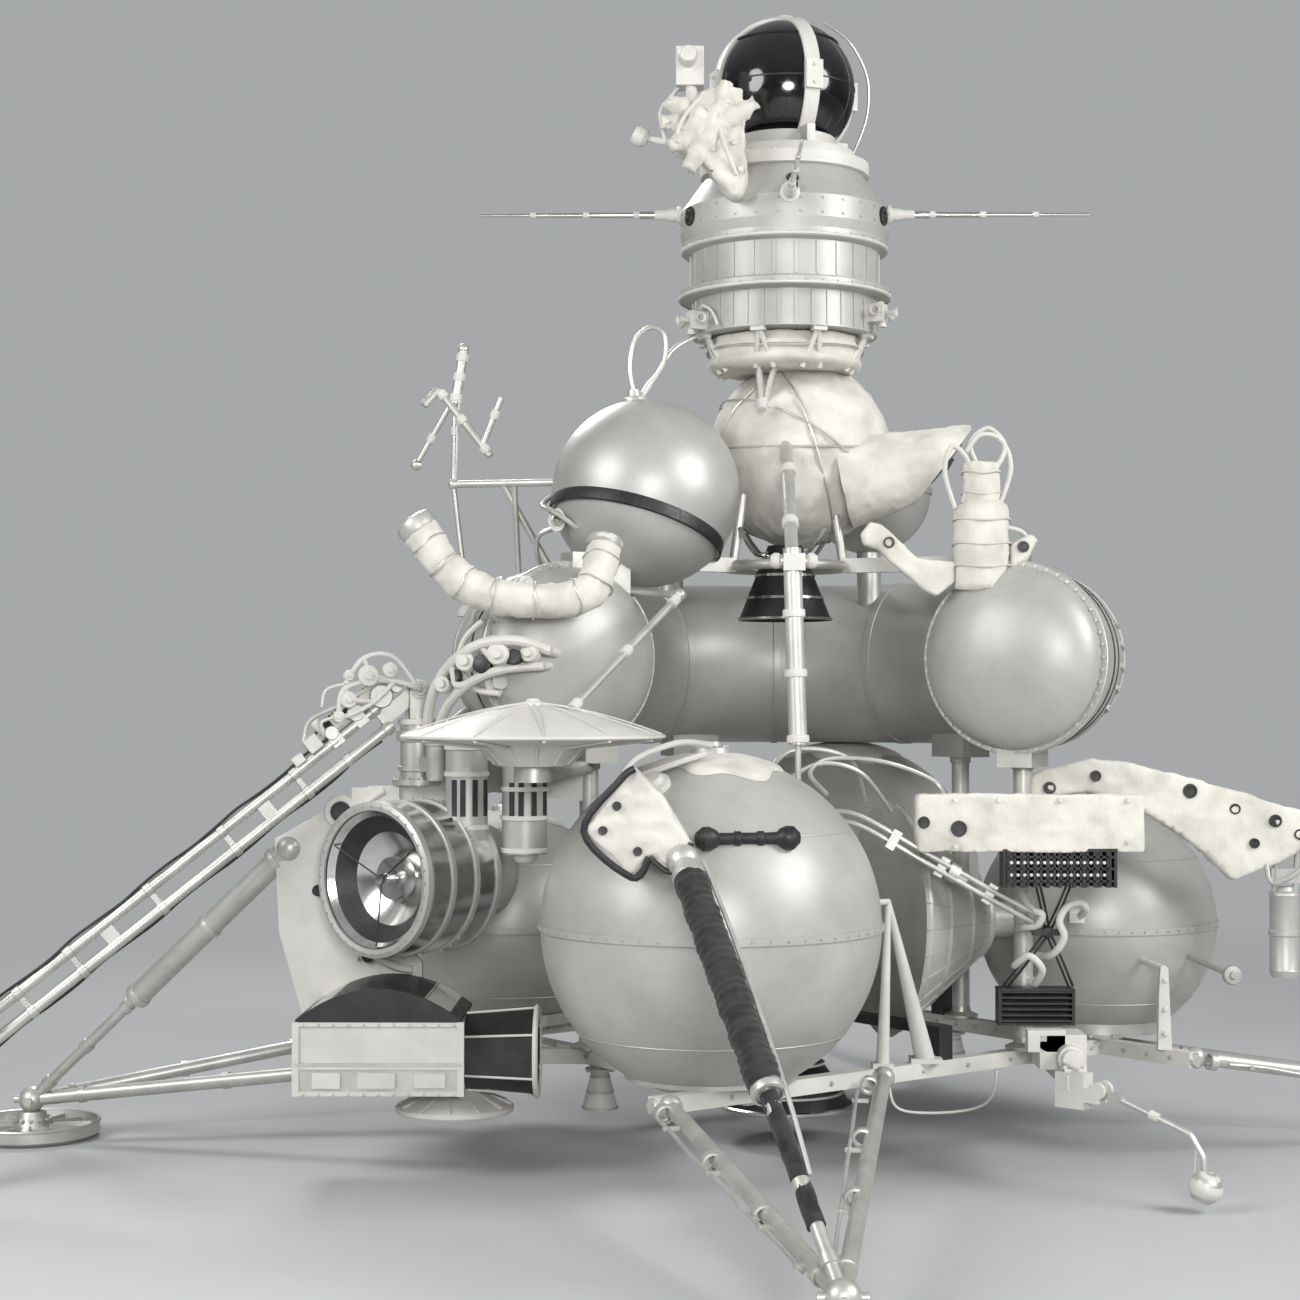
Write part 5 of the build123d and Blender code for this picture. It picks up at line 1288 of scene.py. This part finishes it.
# latch gear at the viewer's side of the hinge: it stays with the turret while the boom lifts
bm = bmesh.new()
side = 0.088
for path, width in (
    ([(0.0, 0.0, 0.050), (0.010, 0.020, side), (0.080, 0.105, side), (0.200, 0.165, side),
      (0.275, 0.105, side)], 0.010),
    ([(0.005, 0.035, side), (0.010, 0.150, side), (0.090, 0.205, side), (0.190, 0.175, side)], 0.009),
    ([(0.060, 0.080, side), (0.150, 0.070, side), (0.240, 0.085, side), (0.275, 0.105, side)], 0.009),
    ([(0.200, 0.165, side), (0.205, 0.120, side + 0.01), (0.150, 0.070, side)], 0.007),
    ([(0.090, 0.205, side), (0.100, 0.150, side + 0.01), (0.060, 0.080, side)], 0.007),
    ([(0.190, 0.175, side), (0.255, 0.200, side + 0.01), (0.300, 0.165, side + 0.01)], 0.005),
    ([(0.275, 0.105, side), (0.330, 0.125, side), (0.345, 0.095, side - 0.005)], 0.005),
):
    addPipe(bm, [onBoom(*spot) for spot in path], width, 8, 6)
for s, n, r in ((0.115, 0.150, 0.036), (0.215, 0.128, 0.028), (0.045, 0.120, 0.026), (0.275, 0.105, 0.020),
                (0.165, 0.190, 0.018)):
    addLathe(bm, [(0.0, -0.014), (r * 0.9, -0.013), (r, -0.008), (r * 0.82, -0.003), (r * 0.82, 0.003),
                  (r, 0.008), (r * 0.9, 0.014), (r * 0.4, 0.015), (r * 0.35, 0.022), (0.0, 0.023)],
             onBoom(s, n, side), boomAcross, 28)
makePiece("turret_latch_gear", bm, enamel, body="boom_turret")

bm = bmesh.new()
turretFoot = Vector((boomPost.x, boomPost.y, 0))
for low, high, r in ((1.252, 1.275, 0.084), (1.300, 1.318, 0.066), (1.400, 1.440, 0.070)):
    addLathe(bm, [(0.056, low), (r, low + 0.002), (r, high - 0.002), (0.056, high)], turretFoot, up, 56)
addBoltRing(bm, turretFoot + up * 1.274, up, 0.074, 10, 0.006)
for a in around(40):
    addBlock(bm, turretFoot + onRing(0.071, a, 1.42), (0.006, 0.005, 0.036), up, a)
motor = Vector((-1.185, -0.475, 1.345))
addLathe(bm, [(0.0, -0.075), (0.030, -0.074), (0.034, -0.060), (0.034, 0.040), (0.040, 0.044),
              (0.040, 0.062), (0.020, 0.070), (0.018, 0.095), (0.0, 0.096)], motor, up, 36)
addBlock(bm, motor + Vector((-0.035, 0.040, -0.02)), (0.10, 0.05, 0.05), up, math.radians(-52))
for start, end in (((-1.225, -0.352, 1.410), (-1.085, -0.235, 1.520)),
                   ((-1.245, -0.330, 1.385), (-1.055, -0.060, 1.440)),
                   ((-1.205, -0.365, 1.300), (-0.985, -0.300, 1.415))):
    addTube(bm, [Vector(start).lerp(Vector(end), i / 6) for i in range(7)], 0.012, 12)
    addLathe(bm, [(0.0, 0.012), (0.022, 0.010), (0.030, -0.002), (0.032, -0.03)], end, (-0.5, -0.4, -0.7),
             24)
makePiece("post_drive", bm, frameAlloy)

bm = bmesh.new()
leftFlange = polar(ringRadius, 180 + endAngle, ringHeight)
leftWay = Vector((0.5, -0.866, 0))
for a, size in ((30, 0.040), (8, 0.030), (-15, 0.045), (52, 0.032)):
    spoke = Vector((-0.866, -0.5, 0)) * math.cos(math.radians(a)) + up * math.sin(math.radians(a))
    addLathe(bm, [(0.0, 0.05), (size * 0.6, 0.048), (size * 0.7, 0.03), (size, 0.026), (size, -0.02)],
             leftFlange + spoke * 0.300 + leftWay * 0.045, leftWay, 28)
for path in (
    [(-1.02, -0.62, 1.80), (-1.08, -0.60, 1.74), (-1.10, -0.60, 1.66), (-1.05, -0.63, 1.58),
     (-0.96, -0.67, 1.56)],
    [(-0.90, -0.58, 1.93), (-0.98, -0.60, 1.90), (-1.04, -0.58, 1.84), (-1.06, -0.52, 1.80),
     (-1.08, -0.42, 1.79)],
):
    addPipe(bm, path, 0.010)
makePiece("left_end_fittings", bm, enamel)

bm = bmesh.new()
for path, width in (
    ([(-1.225, -0.430, 1.425), (-1.190, -0.540, 1.560), (-1.120, -0.630, 1.660), (-1.020, -0.700, 1.720),
      (-0.900, -0.735, 1.730), (-0.800, -0.700, 1.700)], 0.018),
    ([(-1.200, -0.430, 1.400), (-1.140, -0.560, 1.520), (-1.050, -0.660, 1.600), (-0.940, -0.710, 1.640),
      (-0.820, -0.690, 1.650)], 0.016),
    ([(-1.120, -0.630, 1.660), (-1.105, -0.635, 1.590), (-1.050, -0.660, 1.600)], 0.012),
    ([(-1.020, -0.700, 1.720), (-0.980, -0.705, 1.670), (-0.940, -0.710, 1.640)], 0.012),
    ([(-0.800, -0.700, 1.700), (-0.770, -0.62, 1.690), (-0.760, -0.57, 1.690)], 0.016),
    ([(-0.820, -0.690, 1.650), (-0.790, -0.62, 1.650), (-0.770, -0.57, 1.650)], 0.014),
):
    addPipe(bm, path, width, 10, 6)
for x, y, z, size in ((-1.070, -0.668, 1.665, 0.034), (-0.960, -0.722, 1.688, 0.038),
                      (-1.150, -0.600, 1.590, 0.028), (-0.860, -0.722, 1.690, 0.030)):
    addLathe(bm, [(0.0, 0.030), (size * 0.45, 0.030), (size * 0.5, 0.018), (size * 0.9, 0.016),
                  (size, 0.008), (size, -0.03)], (x, y, z), (-0.25, -0.95, 0.1), 28)
makePiece("boom_cradle", bm, enamel)
bm = bmesh.new()
for x, y, z, size in ((-1.015, -0.690, 1.655, 0.026), (-0.910, -0.728, 1.678, 0.022),
                      (-1.108, -0.630, 1.618, 0.018)):
    addLathe(bm, [(0.0, 0.010), (size, 0.012), (size * 1.15, 0.010), (size * 1.15, -0.02)], (x, y, z),
             (-0.25, -0.95, 0.1), 28)
makePiece("boom_cradle_ports", bm, black)

drill = boomPost + boomAlong * boomLength + boomAcross * 0.110
drillFoot = Vector((drill.x, drill.y, 0))


def onDrill(height, back=0.0):
    # spot above the drill's foot, moved back towards the boom's post
    return drillFoot + up * height - boomLevel * back


bm = bmesh.new()
for height in (0.175, 0.300, 0.520, 0.640):
    addLathe(bm, collar(0.060, 0.068, 0.010, crown=0.001), onDrill(height), up, 48)
for a in around(6):
    addTube(bm, [drillFoot + onRing(0.0655, a, 0.180), drillFoot + onRing(0.0655, a, 0.640)], 0.006, 10)
addLathe(bm, [(0.026, 0.668), (0.052, 0.668), (0.056, 0.680), (0.044, 0.690), (0.040, 0.735),
              (0.030, 0.745), (0.026, 0.745)], drillFoot, up, 44)
addBlock(bm, onDrill(0.42, 0.070), (0.05, 0.05, 0.12), up, math.radians(boomHeading))
addLathe(bm, [(0.0, -0.05), (0.024, -0.048), (0.026, 0.048), (0.0, 0.05)], onDrill(0.56, 0.082), up, 28)
addPipe(bm, [onDrill(0.735, 0.035), onDrill(0.775, 0.075), onDrill(0.70, 0.105), onDrill(0.60, 0.095)],
        0.006)
makePiece("drill_ribs", bm, enamel, body="drill_head")
bm = bmesh.new()
flight = [drillFoot + onRing(0.0145, math.pi * k / 10, 0.036 + 0.00075 * k) for k in range(150)]
addTube(bm, flight, 0.0024, 6)
addLathe(bm, [(0.0095, 0.030), (0.0145, 0.0302), (0.0148, 0.040), (0.0135, 0.046)], drillFoot, up, 32)
makePiece("drill_flight", bm, steel, body="drill_bit")

sensorHinge = Vector((0.930, -0.960, 0.330))
sensorBall = Vector((1.200, -1.180, 0.076))
sensorWay = Vector((sensorBall.x - sensorHinge.x, sensorBall.y - sensorHinge.y, 0)).normalized()
bm = bmesh.new()
addLathe(bm, [(0.0, -0.0515), (0.03, -0.043), (0.0515, -0.012), (0.053, 0.0), (0.0515, 0.012),
              (0.03, 0.043), (0.0, 0.0515)], sensorBall, (0.3, -0.2, 1), 40)
addPipe(bm, [sensorHinge + sensorWay * 0.30 - up * 0.100, sensorHinge + sensorWay * 0.318 - up * 0.135,
             sensorBall - sensorWay * 0.034 + up * 0.04], 0.0055)
addLathe(bm, collar(0.0095, 0.015, 0.016), sensorHinge + sensorWay * 0.18 - up * 0.060,
         sensorWay * 0.95 - up * 0.31, 20)
makePiece("sensor_ball_shell", bm, enamel, body="sensor_arm")
bm = bmesh.new()
addBlock(bm, (0.860, -0.62, 0.374), (0.09, 0.16, 0.024))
addBlock(bm, (0.860, -0.86, 0.376), (0.07, 0.10, 0.02))
for x in (0.83, 0.89):
    for y in (-0.56, -0.68, -0.83, -0.89):
        addBolt(bm, (x, y, 0.384), up, 0.008)
addBlock(bm, (0.842, -0.715, 0.420), (0.150, 0.150, 0.110))
addBlock(bm, (0.790, -0.760, 0.455), (0.120, 0.060, 0.070))
addLathe(bm, [(0.0, 0.07), (0.030, 0.068), (0.034, 0.05), (0.042, 0.046), (0.042, -0.02)],
         (0.860, -0.790, 0.405), toViewer, 32)
pipe = [(0.835, -0.36, 0.375), (0.815, -0.50, 0.380), (0.822, -0.70, 0.378), (0.835, -0.86, 0.395),
        (0.87, -0.93, 0.385)]
addPipe(bm, pipe, 0.006)
makePiece("sensor_mount_details", bm, enamel, bevel=0.002)
print("stage boom")


# Engines, frame, columns and nozzles

bm = bmesh.new()
addLathe(bm, collar(0.232, 0.239, 0.009, 0.004, at=0.117), (0, 0, 0), up, 90)
for height, r in ((0.165, 0.200), (0.215, 0.168), (0.265, 0.133), (0.40, 0.193), (0.50, 0.193),
                  (0.60, 0.193)):
    addLathe(bm, collar(r - 0.003, r + 0.005, 0.006, at=height), (0, 0, 0), up, 72)
for k in range(6):
    a = 60 * k + 15
    addPipe(bm, [polar(0.19, a, 0.56), polar(0.225, a + 6, 0.50), polar(0.215, a + 10, 0.40),
                 polar(0.12, a + 14, 0.35)], 0.010, 10, 6)
makePiece("engine_rings", bm, polished)
# the frame's four beams: bolts along both sides, a tube's end and a plate on each corner
beam = {"distance": 0.770, "turn": 38, "height": 0.345, "skin": 0.0252}
bm = bmesh.new()
for quarter in (0, 90, 180, 270):
    middle = polar(beam["distance"], beam["turn"] + quarter, beam["height"])
    outward = polar(1, beam["turn"] + quarter)
    way = polar(1, beam["turn"] + 90 + quarter)
    for s in range(-11, 8):
        spot = middle + way * s * 0.1
        if s % 2:
            addBolt(bm, spot + outward * beam["skin"], outward, 0.006)
        addBolt(bm, spot - outward * beam["skin"], outward * -1, 0.006)
    addLathe(bm, [(0.0, 0.010), (0.020, 0.010), (0.024, 0.004), (0.024, -0.004)], middle - way * 1.1815,
             way * -1, 28)
    corner = polar(beam["distance"] * math.sqrt(2), beam["turn"] + 45 + quarter, 0.3745)
    addBlock(bm, corner, (0.11, 0.11, 0.008), up, math.radians(beam["turn"]))
    for x, y in ((-0.04, -0.04), (0.04, -0.04), (-0.04, 0.04), (0.04, 0.04)):
        addBolt(bm, corner + Vector((x, y, 0.004)), up, 0.007)
makePiece("frame_bolts", bm, frameAlloy)

bm = bmesh.new()
for x, y in ((0.780, -0.380), (-0.680, -0.380), (-0.331, 0.718), (0.669, 0.395)):
    for height in (0.376, 0.60, 0.86, 1.12, 1.32):
        addLathe(bm, collar(0.030, 0.038, 0.014, at=height), (x, y, 0), up, 36)
    addLathe(bm, [(0.030, 0.371), (0.062, 0.372), (0.062, 0.380), (0.036, 0.392), (0.030, 0.42)], (x, y, 0),
             up, 40)
makePiece("column_collars", bm, frameAlloy)

nozzle = {"foot": Vector((0, 0, 1.82)), "length": 0.265, "wide": 0.165, "narrow": 0.060}
bm = bmesh.new()
addLathe(bm, [(0.164, 0.0), (0.170, 0.003), (0.170, 0.010), (0.160, 0.012)], nozzle["foot"], up, 72)
for share in (0.3, 0.6, 0.85):
    r = nozzle["wide"] + (nozzle["narrow"] - nozzle["wide"]) * share
    addLathe(bm, [(r - 0.002, -0.005), (r + 0.006, -0.004), (r + 0.003, 0.005), (r - 0.004, 0.006)],
             nozzle["foot"] + up * nozzle["length"] * share, up, 60)
for a in (25, 115, 205, 295):
    addPipe(bm, [polar(0.06, a, 2.06), polar(0.12, a + 8, 2.05), polar(0.17, a + 12, 2.09),
                 polar(0.21, a + 14, 2.14)], 0.008, 8, 6)
makePiece("ascent_nozzle_rings", bm, polished)

bm = bmesh.new()
for turn in (0, 180):
    foot = polar(beam["distance"], beam["turn"] + turn) - polar(0.055, beam["turn"] + 90 + turn)
    for height, r in ((0.182, 0.0615), (0.235, 0.0475), (0.285, 0.034)):
        addLathe(bm, collar(r - 0.006, r, 0.005, 0.001, at=height), foot, up, 40)
    addLathe(bm, [(0.020, 0.300), (0.048, 0.302), (0.050, 0.312), (0.030, 0.3195)], foot, up, 36)
makePiece("steering_nozzle_rings", bm, aluminium)
print("stage frame")


# Backdrop, lamps and camera

backdropColour = linear("#a6a8aa")
floorMaterial = bpy.data.materials.new("palePaperFloor")
floorMaterial.use_nodes = True
tree = floorMaterial.node_tree
shader = tree.nodes["Principled BSDF"]
place = addNode(tree, "ShaderNodeTexCoord").outputs["Object"]
fibre = addNode(tree, "ShaderNodeTexNoise", {"Vector": place, "Scale": 3.0, "Detail": 6.0})
ramp = addNode(tree, "ShaderNodeValToRGB", {"Fac": fibre.outputs[0]})
ramp.color_ramp.elements[0].color = linear("#b2b3b4")
ramp.color_ramp.elements[1].color = linear("#b8b9ba")
tree.links.new(ramp.outputs[0], shader.inputs["Base Color"])
shader.inputs["Roughness"].default_value = 0.85
# far from the lander the paper turns into the even tone of the backdrop, for the camera alone
reach = addNode(tree, "ShaderNodeVectorMath", {0: place}, operation="LENGTH")
fade = addNode(tree, "ShaderNodeMapRange",
               {"Value": reach.outputs["Value"], "From Min": 3.2, "From Max": 9.0},
               interpolation_type="SMOOTHSTEP")
seen = addNode(tree, "ShaderNodeLightPath")
share = addNode(tree, "ShaderNodeMath", {0: fade.outputs[0], 1: seen.outputs["Is Camera Ray"]},
                operation="MULTIPLY")
even = addNode(tree, "ShaderNodeEmission", {"Color": backdropColour, "Strength": 1.0})
mixed = addNode(tree, "ShaderNodeMixShader",
                {0: share.outputs[0], 1: shader.outputs[0], 2: even.outputs[0]})
tree.links.new(mixed.outputs[0], tree.nodes["Material Output"].inputs["Surface"])
bm = bmesh.new()
bmesh.ops.create_circle(bm, cap_ends=True, segments=96, radius=45.0,
                        matrix=Matrix.Translation((0, 0, -0.0015)))
mesh = bpy.data.meshes.new("floor")
bm.to_mesh(mesh)
bm.free()
floor = bpy.data.objects.new("floor", mesh)
mesh.materials.append(floorMaterial)
bpy.context.collection.objects.link(floor)

world = bpy.data.worlds.new("studio")
world.use_nodes = True
tree = world.node_tree
direction = addNode(tree, "ShaderNodeTexCoord").outputs["Generated"]
height = addNode(tree, "ShaderNodeSeparateXYZ", {"Vector": direction})
sky = addNode(tree, "ShaderNodeValToRGB", {"Fac": height.outputs["Z"]})
sky.color_ramp.elements[0].position = 0.0
sky.color_ramp.elements[0].color = linear("#5e6063")
sky.color_ramp.elements[1].position = 0.75
sky.color_ramp.elements[1].color = linear("#d9dcdf")
seen = addNode(tree, "ShaderNodeLightPath")
lit = addNode(tree, "ShaderNodeBackground", {"Color": sky.outputs[0], "Strength": 0.48})
plain = addNode(tree, "ShaderNodeBackground", {"Color": backdropColour, "Strength": 1.0})
mixed = addNode(tree, "ShaderNodeMixShader",
                {0: seen.outputs["Is Camera Ray"], 1: lit.outputs[0], 2: plain.outputs[0]})
tree.links.new(mixed.outputs[0], tree.nodes["World Output"].inputs["Surface"])
scene.world = world


def addLamp(name, spot, target, size, power):
    lamp = bpy.data.lights.new(name, "AREA")
    lamp.shape = "ELLIPSE"
    lamp.size, lamp.size_y = size
    lamp.energy = power
    obj = bpy.data.objects.new(name, lamp)
    obj.location = spot
    obj.rotation_mode = "QUATERNION"
    obj.rotation_quaternion = (Vector(target) - Vector(spot)).to_track_quat("-Z", "Y")
    bpy.context.collection.objects.link(obj)


lampTable = [
    # name, place, target, size and power in watts
    ("key", (6.0, -4.0, 5.0), (0.0, 0.0, 1.6), (4.2, 4.2), 500),
    ("fill", (-5.6, -4.6, 4.6), (0.0, 0.0, 1.6), (3.8, 4.4), 330),
    ("front", (0.6, -9.6, 2.9), (0.0, 0.0, 1.6), (3.0, 2.2), 390),
    ("rim", (-3.0, 6.0, 6.5), (0.0, 0.0, 1.8), (3.0, 2.0), 300),
]
for row in lampTable:
    addLamp(*row)

# The camera stands where the photo's did. Its level line of sight meets the picture to the right of
# and below the middle, by view's right and up in pixels.
view = {"yaw": math.radians(2.9), "distance": 8.1, "height": 1.54, "lens": 2286, "wide": 1300,
        "right": 135, "up": 50}
right = Vector((math.cos(view["yaw"]), -math.sin(view["yaw"]), 0))
ahead = Vector((math.sin(view["yaw"]), math.cos(view["yaw"]), 0))
camera = bpy.data.cameras.new("camera")
camera.sensor_width = 36
camera.lens = view["lens"] / view["wide"] * camera.sensor_width
cameraObject = bpy.data.objects.new("camera", camera)
cameraObject.location = up * view["height"] - ahead * view["distance"]
cameraObject.rotation_mode = "QUATERNION"
sight = ahead * view["lens"] - right * view["right"] + up * view["up"]
cameraObject.rotation_quaternion = sight.to_track_quat("-Z", "Y")
bpy.context.collection.objects.link(cameraObject)
scene.camera = cameraObject
scene.view_settings.view_transform = "Standard"

print("stage camera")
